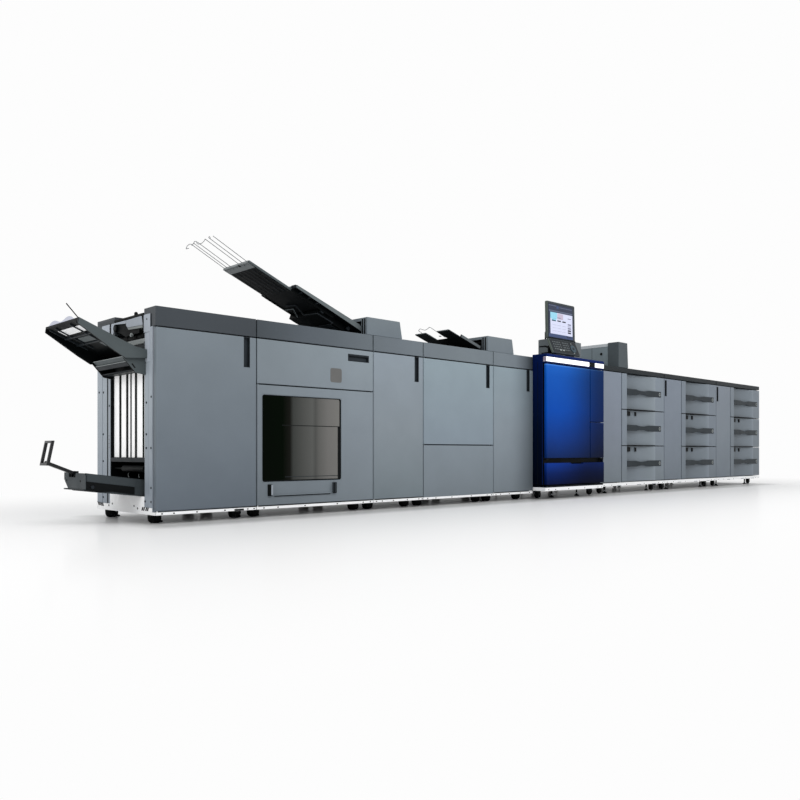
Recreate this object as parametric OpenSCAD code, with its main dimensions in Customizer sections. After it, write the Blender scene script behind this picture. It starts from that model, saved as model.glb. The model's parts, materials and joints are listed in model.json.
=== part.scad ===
// Digital production press: nine floor-standing units docked in one line.
// X runs along the line from the booklet end, Y from the front to the back, Z up.

/* [Units] */
// Width of the booklet unit at the left end
booklet_w = 564; // [500:1:650]
// Width of the stacker with the window
stacker_w = 818; // [780:1:900]
// Width of the inserter unit with the long tray
inserter_w = 424; // [400:1:500]
// Width of the folding unit with the small tray
folder_w = 691; // [640:1:760]
// Width of the relay unit beside the print engine
relay_w = 453; // [380:1:520]
// Width of the print engine
engine_w = 900; // [860:1:960]
// Width of each paper feeder
feeder_w = 1055; // [980:1:1120]
// Depth of every unit
unit_depth = 665; // [620:1:760]

/* [Heights] */
// Underside of the white base frames
base_z = 44; // [40:1:50]
// Top of the base frames of the finishing units
base_top = 58; // [56:1:76]
// Underside of the dark top covers
cover_z = 947; // [920:1:980]
// Top of the finishing units
unit_top = 1040; // [1020:1:1080]
// Top of the feeders
feeder_top = 1055; // [1045:1:1090]
// Thickness of a feeder's top plate
feeder_cap = 40; // [30:1:60]
// Bottom of the feeder cabinets
feeder_base = 88; // [80:1:100]

/* [Doors] */
// Thickness of a door
door_t = 25; // [20:1:30]
// Seam between neighbouring doors and drawers
seam = 6.5; // [6:0.5:8]
// Free space behind a door
door_back = 9; // [8:1:14]
// Distance of a hinge pin from the door's two outer faces
pin_in = 8; // [7:1:10]
// Radius of a hinge pin
pin_r = 3; // [2.5:0.1:4]
// Running clearance round a hinge pin
pin_fit = 0.3; // [0.2:0.05:0.5]
// Length of a hinge pin inside the door
pin_len = 14; // [10:1:24]
// Width of a slot handle
slot_w = 36; // [30:1:44]
// Length of a slot handle
slot_h = 156; // [120:1:180]
// Depth of a slot handle
slot_d = 17; // [10:1:18]
// Distance of a slot handle from the door's free edge
slot_in = 38; // [30:1:50]

/* [Engine] */
// How far the engine's front stands ahead of the line
engine_proud = 118; // [100:1:130]
// Width of the engine's blue front
front_w = 768; // [740:1:790]
// Width of the engine's large left door
left_leaf_w = 569; // [500:1:600]
// Underside of the engine's front base
engine_base = 88; // [80:1:96]
// Bottom of the lower drawer
low_drawer_z = 107; // [104:1:112]
// Top of the lower drawer
low_drawer_top = 265; // [240:1:270]
// Bottom of the engine's doors
leaf_z = 301; // [290:1:320]
// Split between the two right-hand doors
leaf_split = 576; // [500:1:640]
// Top of the engine's doors
leaf_top = 984; // [970:1:990]
// Underside of the light bar
bar_z = 1003; // [1000:1:1006]
// Top of the light bar
bar_top = 1036; // [1030:1:1042]
// Top of the engine's blue front cap
engine_top_z = 1058; // [1054:1:1080]
// Top of the engine's deck behind the cap
deck_top = 1042; // [1040:1:1052]

/* [Feeders] */
// Width of a feeder's blank door
blank_w = 330; // [300:1:360]
// Thickness of a drawer front
front_t = 60; // [50:1:70]
// Depth of the scoop in a drawer front
scoop_d = 38; // [30:1:44]
// Length of a drawer's box behind its front
box_len = 500; // [420:1:520]
// Wall of a drawer's box
box_wall = 4; // [3:0.5:6]
// Height of a drawer's box
box_h = 190; // [150:1:215]

/* [Trays] */
// Slope of the long tray, in degrees
tray_slope = 22; // [18:1:28]
// Slope of the small tray, in degrees
small_slope = 17.3; // [12:0.1:24]
// Thickness of a tray plate
tray_t = 12; // [8:1:16]
// Width of the long tray
tray_w = 340; // [300:1:360]
// Radius of a tray wire
wire_r = 2; // [1.5:0.5:3]
// How far the booklet end's arm and trays reach past the line
end_reach = 412; // [405:1:430]

/* [Hidden] */
$fn = 48;

dark = "#3f4449";
panel = "#7d848c";
pale = "#9aa1a9";
blue = "#0f3f9c";
navy = "#0b1c4c";
black = "#15181a";
white = "#f2f3f4";

half = seam / 2;
unit_w = [booklet_w, stacker_w, inserter_w, folder_w, relay_w, engine_w,
          feeder_w, feeder_w, feeder_w];
function unit_x(i) = i == 0 ? 0 : unit_x(i - 1) + unit_w[i - 1];
line_len = unit_x(8) + feeder_w;
stacker_x = unit_x(1);
inserter_x = unit_x(2);
folder_x = unit_x(3);
relay_x = unit_x(4);
engine_x = unit_x(5);
function feeder_x(k) = unit_x(6 + k);

case_y = door_t + door_back;        // front of a cabinet behind its door
door_z = base_top + seam;           // bottom of the doors
door_top = cover_z - seam;          // top of the doors
wide = 2;                           // spare length of a cutting tool

// The origin is the bottom centre of everything.
origin_x = (line_len - half - end_reach) / 2;
origin_y = (unit_depth - engine_proud) / 2;

// ---------- helpers ----------

// A box from its two corners.
module block(a, b) {
    translate(a) cube(b - a);
}

// A plate with an outline in X and Z, from y0 to y1.
module xz_plate(points, y0, y1) {
    translate([0, y1, 0]) rotate([90, 0, 0]) linear_extrude(y1 - y0) polygon(points);
}

// A straight round rod between two points.
module rod(a, b, r, sides = 16) {
    d = b - a;
    len = norm(d);
    tilt = acos(d[2] / len);
    turn = atan2(d[1], d[0]);
    translate(a) rotate([0, tilt, turn]) cylinder(r = r, h = len, $fn = sides);
}

// The place of a hinge pin: side is -1 for a left hinge and 1 for a right one.
function pin_x(x0, x1, side) = side < 0 ? x0 + pin_in : x1 - pin_in;

// A hinge pin that stands into a door's edge from z, up (1) or down (-1).
module hinge_pin(x, y, z, up) {
    reach = seam + pin_len;
    translate([x, y + pin_in, up > 0 ? z : z - reach]) cylinder(r = pin_r, h = reach);
}

// A door leaf with its hinge corner rounded about the pin and a bore at each end.
module leaf(x0, x1, y, z0, z1, side, t = door_t) {
    px = pin_x(x0, x1, side);
    difference() {
        translate([0, 0, z0]) linear_extrude(z1 - z0) union() {
            translate([side < 0 ? px : x0, y]) square([x1 - x0 - pin_in, t]);
            translate([x0, y + pin_in]) square([x1 - x0, t - pin_in]);
            translate([px, y + pin_in]) circle(r = pin_in);
        }
        for (z = [z0 - wide, z1 - pin_len - wide])
            translate([px, y + pin_in, z]) cylinder(r = pin_r + pin_fit, h = pin_len + 2 * wide);
    }
}

// The pocket of a vertical slot handle, from the top edge z1 of a door.
module slot_pocket(x, y, z1) {
    block([x, y - wide, z1 - slot_h], [x + slot_w, y + slot_d, z1 + wide]);
}

// A full-height door of a finishing unit, hinged at the left with its slot at the right.
module unit_door(x, w, z0 = door_z) {
    x0 = x + half;
    x1 = x + w - half;
    difference() {
        leaf(x0, x1, 0, z0, door_top, -1);
        slot_pocket(x1 - slot_in - slot_w, 0, door_top);
    }
}

// The closed housing of a finishing unit behind its door.
module unit_case(x, w) {
    block([x + half, case_y, base_top], [x + w - half, unit_depth, cover_z]);
}

// ---------- booklet unit ----------

bay_y0 = 114;                       // bay in the left end
bay_y1 = 500;
bay_z0 = 130;
bay_x = 330;                        // depth of the bay's lower part
exit_x = 72;                        // depth of the bay over the slats
notch_x = 80;                       // cut-away of the top cover
notch_y0 = 120;
notch_y1 = 450;
slat_z0 = 318;
slat_z1 = cover_z - 207;
slat_x = 20;                        // front of the white slats
slat_t = 4;
bar_t = 3;
slat_bar_y = [167, 249, 304, 347, 427];
slat_bar_w = [10, 14, 6, 15, 15];

crossbar_h = 20;                    // bar between the slats and the opening below
end_z = base_top + 20;              // top of the white end plate beside the bay

module booklet_case() color(pale) difference() {
    block([0, case_y, base_top], [booklet_w - half, unit_depth, cover_z]);
    block([-wide, bay_y0, bay_z0], [bay_x, bay_y1, slat_z0 - crossbar_h]);
    block([-wide, bay_y0, bay_z0], [slat_x - bar_t, bay_y1, slat_z0 + wide]);
    block([-wide, bay_y0, slat_z0], [slat_x + slat_t, bay_y1, slat_z1 + wide]);
    block([-wide, bay_y0, slat_z1], [exit_x, bay_y1, cover_z + wide]);
}

module booklet_cover() color(dark) {
    difference() {
        block([0, 0, cover_z], [booklet_w - half, unit_depth, unit_top]);
        block([-wide, notch_y0, cover_z - wide], [notch_x, notch_y1, unit_top + wide]);
    }
    hinge_pin(pin_x(half, 0, -1), 0, cover_z, -1);
}

module booklet_door() color(panel) unit_door(0, booklet_w);

module slat_panel() color(white)
    block([slat_x, bay_y0, slat_z0], [slat_x + slat_t, bay_y1, slat_z1]);

module slat_bars() color(black)
    for (i = [0 : len(slat_bar_y) - 1])
        block([slat_x - bar_t, slat_bar_y[i] - slat_bar_w[i] / 2, slat_z0],
              [slat_x, slat_bar_y[i] + slat_bar_w[i] / 2, slat_z1]);

module end_plate() color(white)
    translate([-3, 0, 0]) rotate([90, 0, 90]) linear_extrude(3)
        polygon([[4, base_z], [unit_depth - 4, base_z], [unit_depth - 4, end_z], [bay_y1, end_z],
                 [bay_y1, bay_z0], [bay_y0, bay_z0], [bay_y0, end_z], [case_y, end_z],
                 [case_y, base_top], [4, base_top]]);

guide_top = unit_top - 30;          // top of the exit unit's back plate
roller_r = 24;
roller_z = cover_z - roller_r - 8;  // clear of the cover's underside

module exit_unit() color(pale) {
    // back plate, roller and guide block over the slats
    block([exit_x - 12, bay_y0, slat_z1], [exit_x, bay_y1, cover_z]);
    block([exit_x - 12, notch_y0, cover_z], [exit_x, notch_y1, guide_top]);
    color(black) block([20, notch_y0, guide_top - 5], [exit_x - 12, notch_y1, guide_top + 12]);
    color(black) block([24, bay_y0, slat_z1], [exit_x - 12, bay_y1, slat_z1 + 60]);
    color(black) rod([40, bay_y0, roller_z], [40, bay_y1, roller_z], roller_r, 32);
    block([26, bay_y0, cover_z - 97], [exit_x - 12, bay_y1, cover_z - 75]);
}

// Outline of the upper tray's side walls, in X and in Z from the covers' underside.
upper_side = [[-330, 10], [-128, -73], [-60, -99], [0, -109], [0, -150], [-112, -157],
              [-177, -120], [-334, -19]];
upper_y0 = 80;
upper_y1 = 490;
side_t = 12;

module upper_tray() color(dark) translate([0, 0, cover_z]) {
    xz_plate(upper_side, upper_y0, upper_y0 + side_t);
    xz_plate(upper_side, upper_y1 - side_t, upper_y1);
    // the plate that the sheets slide on
    xz_plate([[-330, 10], [-128, -73], [-60, -99], [0, -109], [0, -121], [-62, -111],
              [-132, -87], [-334, -3]], upper_y0 + side_t, upper_y1 - side_t);
    rod([-328, upper_y0 + 6, 3], [-385, upper_y0 + 6, 65], wire_r + 0.5, 12);
    // bracket under the tray
    for (y = [100, 458])
        xz_plate([[-100, -157], [-112, -155], [-52, -221], [0, -229], [0, -147], [-100, -147]],
                 y, y + 12);
    block([-60, 110, -213], [0, 460, -205]);
}

// ---------- booklet conveyor ----------

conv_y0 = 140;
conv_y1 = 400;
conv_out = 275;                     // reach of the conveyor past the unit's end
conv_wall = 12;
pivot_x = 12 - conv_out;            // pivot of the stop arm
pivot_z = 243;
arm_y0 = 285;
arm_y1 = 311;
arm_r = 9;
loop_y0 = 250;
loop_y1 = 340;
loop_bar = 12;

module conveyor() color(dark) {
    outline = [[-conv_out, 213], [-conv_out, 248], [bay_x - 80, 180], [bay_x - 80, bay_z0],
               [0, bay_z0], [-conv_out + 40, 158]];
    difference() {
        xz_plate(outline, conv_y0, conv_y1);
        // trough that the booklets run in
        xz_plate([[-conv_out - 20, 270], [-conv_out - 20, 228], [bay_x - 120, 150],
                  [bay_x - 120, 270]], conv_y0 + conv_wall, conv_y1 - conv_wall);
    }
    // ears and pin of the stop arm
    for (y = [arm_y0 - 8.3, arm_y1 + 0.3])
        xz_plate([[pivot_x - 10, 216], [pivot_x - 10, pivot_z + 12], [pivot_x + 10, pivot_z + 12],
                  [pivot_x + 10, 214]], y, y + 8);
    rod([pivot_x, arm_y0 - 4, pivot_z], [pivot_x, arm_y1 + 4, pivot_z], 4, 32);
}

module stop_arm() color(black) {
    top_x = 24 - end_reach;
    difference() {
        union() {
            translate([pivot_x, arm_y1, pivot_z]) rotate([90, 0, 0])
                cylinder(r = arm_r, h = arm_y1 - arm_y0);
            xz_plate([[pivot_x - 2, pivot_z + arm_r - 1], [pivot_x - 6, pivot_z - arm_r + 3],
                      [-end_reach + 8, 290], [-end_reach + 14, 305]], arm_y0, arm_y1);
        }
        translate([pivot_x, arm_y1 + 1, pivot_z]) rotate([90, 0, 0])
            cylinder(r = 4.3, h = arm_y1 - arm_y0 + 2);
    }
    // upright loop that stops the booklets
    difference() {
        xz_plate([[-end_reach, 283], [top_x, 399], [top_x + 14, 399], [-end_reach + 14, 283]],
                 loop_y0, loop_y1);
        block([-end_reach - 2, loop_y0 + loop_bar, 283 + loop_bar],
              [top_x + 20, loop_y1 - loop_bar, 399 - loop_bar]);
    }
}

// ---------- stacker ----------

win_x0 = stacker_x + 33;            // window in the stacker's door
win_x1 = stacker_x + 573;
win_z0 = 186;
win_z1 = 651;
lower_top = 703;                    // seam between the door and the panel above
bay_in = 14;                        // the bay is this much wider than the window
stack_y1 = 560;                     // back of the bay
liner_t = 6;
step_z = 490;                       // the liner is thicker below this height
step_t = 8;

module stacker_case() color(pale) {
    difference() {
        unit_case(stacker_x, stacker_w);
        block([win_x0 - bay_in, case_y - wide, win_z0 - 50],
              [win_x1 + bay_in, stack_y1, win_z1 + 30]);
    }
}

module stacker_liner() color("#6d6a66") {
    x0 = win_x0 - bay_in;
    x1 = win_x1 + bay_in;
    z0 = win_z0 - 50;
    z1 = win_z1 + 30;
    difference() {
        block([x0, case_y + 2, z0], [x1, stack_y1, z1]);
        block([x0 + liner_t, case_y, z0 - wide], [x1 - liner_t, stack_y1 - liner_t, z1 + wide]);
    }
    for (x = [x0 + liner_t, x1 - liner_t - step_t])
        block([x, case_y + 2, z0], [x + step_t, stack_y1 - liner_t, step_z]);
    block([x0 + liner_t, stack_y1 - liner_t - step_t, z0],
          [x1 - liner_t, stack_y1 - liner_t, step_z]);
}

module stacker_lift() color(dark) {
    x0 = win_x0 - bay_in + liner_t + step_t + 3;
    x1 = win_x1 + bay_in - liner_t - step_t - 3;
    block([x0, case_y + 20, win_z0 - 20], [x1, stack_y1 - liner_t - step_t, win_z0 - 4]);
    for (x = [x0 + 60, x1 - 90])
        block([x, case_y + 40, win_z0 - 50], [x + 30, stack_y1 - 60, win_z0 - 20]);
}

module stacker_panel() color(panel) {
    x0 = stacker_x + half;
    x1 = stacker_x + stacker_w - half;
    difference() {
        block([x0, 0, lower_top + half], [x1, door_t, door_top]);
        // recessed handle
        block([stacker_x + 623, -wide, cover_z - 75], [stacker_x + 783, slot_d, cover_z - 34]);
    }
    // studs that hold the panel on its housing
    for (x = [x0 + 60, x1 - 60], z = [lower_top + 60, door_top - 60])
        translate([x, case_y, z]) rotate([90, 0, 0]) cylinder(r = 8, h = door_back);
    hinge_pin(pin_x(x0, x1, -1), 0, lower_top + half, -1);
}

module stacker_door() color(panel) {
    x0 = stacker_x + half;
    x1 = stacker_x + stacker_w - half;
    difference() {
        leaf(x0, x1, 0, door_z, lower_top - half, -1);
        block([win_x0 + 10, -wide, win_z0 + 10], [win_x1 - 10, door_t + wide, win_z1 - 10]);
        block([win_x0, -wide, win_z0], [win_x1, 10, win_z1]);
    }
}

module stacker_window() color("#2b2a28", 0.5)
    block([win_x0, 4, win_z0], [win_x1, 10, win_z1]);

module stacker_rail() color("silver") {
    for (x = [stacker_x + 82, stacker_x + 520])
        translate([x, 0, 113]) difference() {
            cylinder(r = 14, h = 61);
            translate([-20, 0, -wide]) cube([40, 20, 61 + 2 * wide]);
        }
    block([stacker_x + 82, -5, 113], [stacker_x + 520, 0, 118]);
}

// ---------- inserter, folder and relay units ----------

folder_split = 392;                 // seam between the folder's door and lower panel

module unit_cases() color(pale) for (i = [2 : 4]) unit_case(unit_x(i), unit_w[i]);

module inserter_door() color(panel) unit_door(inserter_x, inserter_w);

module folder_door() color(panel) unit_door(folder_x, folder_w, folder_split + half);

module folder_panel() color(panel) {
    x0 = folder_x + half;
    x1 = folder_x + folder_w - half;
    block([x0, 0, base_top], [x1, door_t, folder_split - half]);
    for (x = [x0 + 60, x1 - 60], z = [base_top + 60, folder_split - 60])
        translate([x, case_y, z]) rotate([90, 0, 0]) cylinder(r = 8, h = door_back);
    hinge_pin(pin_x(x0, x1, -1), 0, folder_split - half, 1);
}

module relay_door() color(panel) unit_door(relay_x, relay_w);

module unit_covers() color(dark)
    for (i = [1 : 4]) {
        x = unit_x(i);
        block([x + half, 0, cover_z], [x + unit_w[i] - half, unit_depth, unit_top]);
        if (i > 1) hinge_pin(pin_x(x + half, 0, -1), 0, cover_z, -1);
    }

tray_y0 = 60;                       // front edge of the long tray
tray_y1 = tray_y0 + tray_w;
tower_h = 104;
tower_depth = tray_y1 + 40;
mouth_z = unit_top + 6;             // floor of a tower's exit slot
mouth_y0 = 55;
mouth_d = 45;                       // how deep the slot goes
inserter_tower_x = inserter_x - 49;
folder_tower_x = folder_x + 630;

// A cover box on a unit's top, with a leaning right side and an exit slot at the left.
module exit_tower(x0, x1) {
    difference() {
        xz_plate([[x0, unit_top], [x1, unit_top], [x1 - 20, unit_top + tower_h],
                  [x0, unit_top + tower_h]], 0, tower_depth);
        block([x0 - wide, mouth_y0, mouth_z], [x0 + mouth_d, tower_depth - 25, unit_top + 84]);
    }
}

// A lip that seats a tray on the floor of the slot of the tower at x.
module mouth_seat(x, y0, y1) block([x + 2, y0, mouth_z], [x + 14, y1, mouth_z + 22]);

module exit_towers() color(panel) {
    exit_tower(inserter_tower_x, inserter_tower_x + 288);
    exit_tower(folder_tower_x, folder_tower_x + 288);
}

// ---------- long tray over the stacker ----------

tray_low = [inserter_tower_x + mouth_d - 5, unit_top + 24];   // lower end of its surface
slide_y0 = tray_y0 + 40;
slide_y1 = tray_y1 - 43;

// Puts a child drawn along -X at the tray's slope, from the tray's lower end.
module on_slope() {
    translate([tray_low[0], 0, tray_low[1]]) rotate([0, tray_slope, 0]) children();
}

plate_len = 548;
slide_out = 299;
wire_at = [0.08, 0.25, 0.39, 0.71, 0.85, 0.955];      // places of the wires across the slide

module long_tray() color(black) {
    on_slope() {
        block([-plate_len, tray_y0, -tray_t], [0, tray_y1, 0]);
        for (y = [tray_y0, tray_y1 - side_t])
            xz_plate([[-plate_len, 0], [-60, 0], [-60, 20], [-plate_len, 5]], y, y + side_t);
        // channel that holds the slide
        for (y = [slide_y0 - 10, slide_y1 + 0.3])
            block([-plate_len, y, -tray_t - 16], [-230, y + 9.7, -tray_t]);
        // body under the lower half
        block([-330, tray_y0 + 60, -tray_t - 34], [-90, tray_y1 - 10, -tray_t]);
    }
    mouth_seat(inserter_tower_x, tray_y0 + 20, tray_y1 - 20);
}

module tray_slide() color(dark) on_slope() {
    block([-plate_len - slide_out, slide_y0, -tray_t - 12.3], [-340, slide_y1, -tray_t - 0.3]);
}

module tray_wires() color("silver") on_slope() {
    for (share = wire_at) {
        y = slide_y0 + share * (slide_y1 - slide_y0);
        rod([-plate_len - slide_out, y, -tray_t - 6], [-plate_len - slide_out - 238, y, -2],
            wire_r, 8);
    }
}

prong_x = -349;                     // outer end of both prongs, along the tray
fork_x = -230;                      // bottom of the gap between them

module small_tray() color(black) {
    translate([folder_tower_x + 5, 0, unit_top + 16]) rotate([0, small_slope, 0]) {
        block([fork_x, 62, -8], [0, 374, 0]);
        block([prong_x, 62, -8], [fork_x, 168, 0]);
        block([prong_x, 274, -8], [fork_x, 374, 0]);
        block([fork_x, 52, -8], [-24, 62, 14]);
    }
    mouth_seat(folder_tower_x, 80, 310);
}

// ---------- print engine ----------

front_y = -engine_proud;
leaf_t = 22;
engine_face = front_y + leaf_t + door_back;           // fixed face behind the doors
front_x1 = engine_x + front_w;
leaf_x = engine_x + left_leaf_w;                      // seam between the leaves
ledge_t = 6;
lens_x0 = leaf_x - 9;
lens_x1 = leaf_x + 71;
low_box_len = 420;
cap_y1 = 10;                        // back edge of the blue cap

module engine_case() color(navy) {
    difference() {
        union() {
            block([engine_x + half, 0, engine_base], [engine_x + engine_w - half, unit_depth, bar_top]);
            block([engine_x + half, cap_y1, bar_top], [engine_x + engine_w - half, unit_depth, deck_top]);
            block([front_x1 - half, 0, bar_top], [engine_x + engine_w - half, cap_y1, deck_top]);
            block([engine_x + half, engine_face, low_drawer_z - 1], [front_x1 - half, 0, bar_z]);
            block([engine_x + half, front_y + 8, engine_base], [front_x1 - half, 0, low_drawer_z - seam]);
            block([engine_x + half, engine_face, bar_z], [front_x1 - half, 0, bar_top]);
            block([engine_x + half, front_y + 6, leaf_top + seam], [front_x1 - half, engine_face, bar_z]);
            block([lens_x0, front_y + 4, bar_z], [lens_x1, engine_face, bar_top]);
            // ledges that carry the lower hinge pins
            block([engine_x + half, front_y + 4, leaf_z - seam - ledge_t],
                  [engine_x + 40, engine_face, leaf_z - seam]);
            block([front_x1 - 40, front_y + 4, leaf_z - seam - ledge_t],
                  [front_x1 - half, engine_face, leaf_z - seam]);
        }
        // space for the lower drawer's box
        block([engine_x + 34, engine_face - wide, low_drawer_z + 6],
              [front_x1 - 34, engine_face + low_box_len + 12, low_drawer_top - 6]);
    }
    for (x = [pin_x(engine_x + half, 0, -1), pin_x(0, front_x1 - half, 1)]) {
        hinge_pin(x, front_y, leaf_top + seam, -1);
        hinge_pin(x, front_y, leaf_z - seam, 1);
    }
    // rails of the lower drawer
    for (x = [engine_x + 34, front_x1 - 34 - 14])
        block([x, engine_face + 10, low_drawer_z + 40],
              [x + 14, engine_face + low_box_len, low_drawer_z + 52]);
}

module engine_cap() color(blue)
    block([engine_x + half, front_y, bar_top], [front_x1 - half, cap_y1, engine_top_z]);

module light_bar() color(white) {
    block([engine_x + half, front_y + 2, bar_z], [lens_x0, engine_face, bar_top]);
    block([lens_x1, front_y + 2, bar_z], [front_x1 - half, engine_face, bar_top]);
}

module engine_door() color(blue)
    leaf(engine_x + half, leaf_x - half, front_y, leaf_z, leaf_top, -1, leaf_t);

module side_door_upper() color(blue)
    leaf(leaf_x + half, front_x1 - half, front_y, leaf_split + half, leaf_top, 1, leaf_t);

module side_door_lower() color(blue)
    leaf(leaf_x + half, front_x1 - half, front_y, leaf_z, leaf_split - half, 1, leaf_t);

module engine_drawer() color(blue) {
    x0 = engine_x + 34 + 20;
    x1 = front_x1 - 34 - 20;
    y1 = engine_face + low_box_len;
    z0 = low_drawer_z + 14;
    difference() {
        block([engine_x + half, front_y, low_drawer_z], [front_x1 - half, front_y + leaf_t, low_drawer_top]);
        // finger notch in the top edge
        block([engine_x + 314, front_y - wide, low_drawer_top - 8],
              [engine_x + 474, front_y + leaf_t + wide, low_drawer_top + wide]);
    }
    difference() {
        block([x0, front_y + leaf_t, z0], [x1, y1, low_drawer_top - 30]);
        block([x0 + box_wall, front_y + leaf_t, z0 + box_wall],
              [x1 - box_wall, y1 - box_wall, low_drawer_top]);
    }
    for (x = [engine_x + 34 + 5.5, x1])
        block([x, engine_face + 10, low_drawer_z + 52.4],
              [x + 14.5, y1, low_drawer_z + 62]);
}

// ---------- control panel ----------

tilt_y = 0;
tilt_z = 1170;
screen_x0 = engine_x + 118;
screen_x1 = engine_x + 468;
post_x = engine_x + 280;
post_w = 390;
post_y1 = 160;

module panel_post() color(dark) {
    block([post_x, 30, deck_top], [post_x + post_w, post_y1, engine_top_z + 150]);
    for (x = [post_x + 16, post_x + 136])
        difference() {
            block([x, -14, tilt_z - 14], [x + 14, 30, tilt_z + 14]);
            translate([x - wide, tilt_y, tilt_z]) rotate([0, 90, 0]) cylinder(r = 5.3, h = 14 + 2 * wide);
        }
}

module control_panel() color(dark) {
    // screen housing
    translate([0, -46, 1190]) rotate([-1, 0, 0])
        block([screen_x0, 0, 0], [screen_x1, 26, 276]);
    // keypad that slopes forward under the screen
    translate([0, -46, 1192]) rotate([-24, 0, 0])
        block([screen_x0, 0, -126], [screen_x1, 18, 0]);
    // hinge block and pin
    block([post_x + 36, -24, tilt_z - 20], [post_x + 130, -9, tilt_z + 60]);
    block([post_x + 36, -10, tilt_z - 10], [post_x + 130, 8, tilt_z + 10]);
    rod([post_x + 16, tilt_y, tilt_z], [post_x + 150, tilt_y, tilt_z], 5, 32);
}

// ---------- paper feeders ----------

feeder_cap_z = feeder_top - feeder_cap;
feeder_door_z = feeder_base + seam;
feeder_door_top = feeder_cap_z - seam;
feeder_slot_h = 144;                // slot handle of a blank door
feeder_slot_top = feeder_cap_z - 21;
drawer_pitch = (feeder_door_top + seam - feeder_door_z) / 3;
feeder_wall = 12;
shelf_t = 4;
bay_front = front_t + 7;            // front edges of shelves and walls behind the drawers
rail_w = 14;
rail_h = 12;
runner_gap = 5.5;
runner_fit = 0.4;
rail_z = 60;                        // height of the rails above a bay's floor
grip_z = 25;
grip_x0 = 80;
grip_x1 = 660;
scoop_x1 = 560;

function bay_x0(k) = feeder_x(k) + blank_w - 4;
function bay_x1(k) = feeder_x(k) + feeder_w - half - feeder_wall;
function drawer_z(j) = feeder_door_top - (j + 1) * drawer_pitch + seam;

module feeder_case(k) color(pale) {
    x = feeder_x(k);
    difference() {
        block([x + half, case_y, feeder_base], [x + feeder_w - half, unit_depth, feeder_cap_z]);
        block([bay_x0(k), case_y - wide, feeder_base + shelf_t],
              [bay_x1(k), unit_depth - 25, feeder_cap_z - shelf_t]);
        // the drawer fronts cover the walls' front edges
        block([x + blank_w - 12, case_y - wide, feeder_base - wide],
              [x + feeder_w, bay_front, feeder_cap_z + wide]);
    }
    // shelves between the drawers
    for (j = [0, 1])
        block([bay_x0(k), bay_front, drawer_z(j) - half - shelf_t / 2],
              [bay_x1(k), unit_depth - 25, drawer_z(j) - half + shelf_t / 2]);
    for (j = [0 : 2], rx = [bay_x0(k), bay_x1(k) - rail_w])
        block([rx, bay_front + 12, drawer_z(j) + rail_z],
              [rx + rail_w, front_t + box_len, drawer_z(j) + rail_z + rail_h]);
}

module feeder_caps() color(dark)
    for (k = [0 : 2]) {
        x = feeder_x(k);
        block([x + half, 0, feeder_cap_z], [x + feeder_w - half, unit_depth, feeder_top]);
        hinge_pin(pin_x(0, x + blank_w - half, 1), 0, feeder_cap_z, -1);
    }

module blank_door(k) color(panel) {
    x0 = feeder_x(k) + half;
    x1 = feeder_x(k) + blank_w - half;
    difference() {
        leaf(x0, x1, 0, feeder_door_z, feeder_door_top, 1);
        block([x0 + 9, -wide, feeder_slot_top - feeder_slot_h],
              [x0 + 9 + slot_w, slot_d, feeder_slot_top]);
    }
}

// Outline of the grip bar, narrower in the middle.
module grip_outline(len) {
    difference() {
        translate([0, -grip_z]) square([len, 2 * grip_z]);
        for (s = [-1, 1])
            translate([len * 0.45, s * (grip_z + 560)]) circle(r = 570, $fn = 160);
    }
}

module drawer(k, j) color(panel) {
    x0 = feeder_x(k) + blank_w + half;
    x1 = feeder_x(k) + feeder_w - half;
    z0 = drawer_z(j);
    z1 = z0 + drawer_pitch - seam;
    zc = (z0 + z1) / 2;
    scoop_mid = x0 + 160;
    scoop_r = ((x0 + scoop_x1 - scoop_mid) ^ 2 + scoop_d ^ 2) / (2 * scoop_d);
    difference() {
        block([x0, 0, z0], [x1, front_t, z1]);
        intersection() {
            translate([scoop_mid, scoop_d - scoop_r, z0 - wide])
                cylinder(r = scoop_r, h = z1 - z0 + 2 * wide, $fn = 200);
            block([x0 + grip_x0, -50, z0 - wide], [x1, front_t, z1 + wide]);
        }
    }
    translate([x0 + grip_x0, 12, zc]) rotate([90, 0, 0]) linear_extrude(14)
        grip_outline(grip_x1 - grip_x0);
    bx0 = bay_x0(k) + rail_w + runner_gap;
    bx1 = bay_x1(k) - rail_w - runner_gap;
    difference() {
        block([bx0, front_t, z0 + 10], [bx1, front_t + box_len, z0 + 10 + box_h]);
        block([bx0 + box_wall, front_t, z0 + 10 + box_wall],
              [bx1 - box_wall, front_t + box_len - box_wall, z1]);
    }
    for (rx = [bx0 - rail_w, bx1])
        block([rx, bay_front + 12, z0 + rail_z + rail_h + runner_fit],
              [rx + rail_w, front_t + box_len, z0 + rail_z + 2 * rail_h]);
}

tower_x0 = feeder_x(0) + 279;       // box on the first feeder
tower_x1 = feeder_x(0) + 435;
tower_top = feeder_top + 212;
tower_cap = 104;                    // depth of its dark front cover
tower_back = 600;

module feeder_tower() color(panel)
    xz_plate([[tower_x0 + 4, feeder_top], [tower_x1 - 3, feeder_top],
              [tower_x1 - 15, tower_top - 4], [tower_x0 + 14, tower_top - 4],
              [tower_x0 + 4, tower_top - 30]], tower_cap, tower_back);

module tower_front() color(dark)
    xz_plate([[tower_x0, feeder_top], [tower_x1, feeder_top], [tower_x1 - 14, tower_top],
              [tower_x0, tower_top]], 0, tower_cap);

// ---------- bases, wheels and docking ----------

rim = 10;                           // width of a base frame's rim
plate_t = 5;
caster_w = 30;
caster_y = [112, unit_depth - 65];
foot_back = 45;                     // a foot stands behind its wheel, at the inner side

// Radius of unit i's wheels and the places of their middles.
function caster_r(i) = i < 5 ? 26 : 32;
function caster_left(i) = i < 5 ? 50 : i == 5 ? 131 : 159;
function caster_right(i) = i < 5 ? 62 : i == 5 ? 73 : 31;
function foot_in(i) = i == 5 ? 178 : 84;

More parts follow.
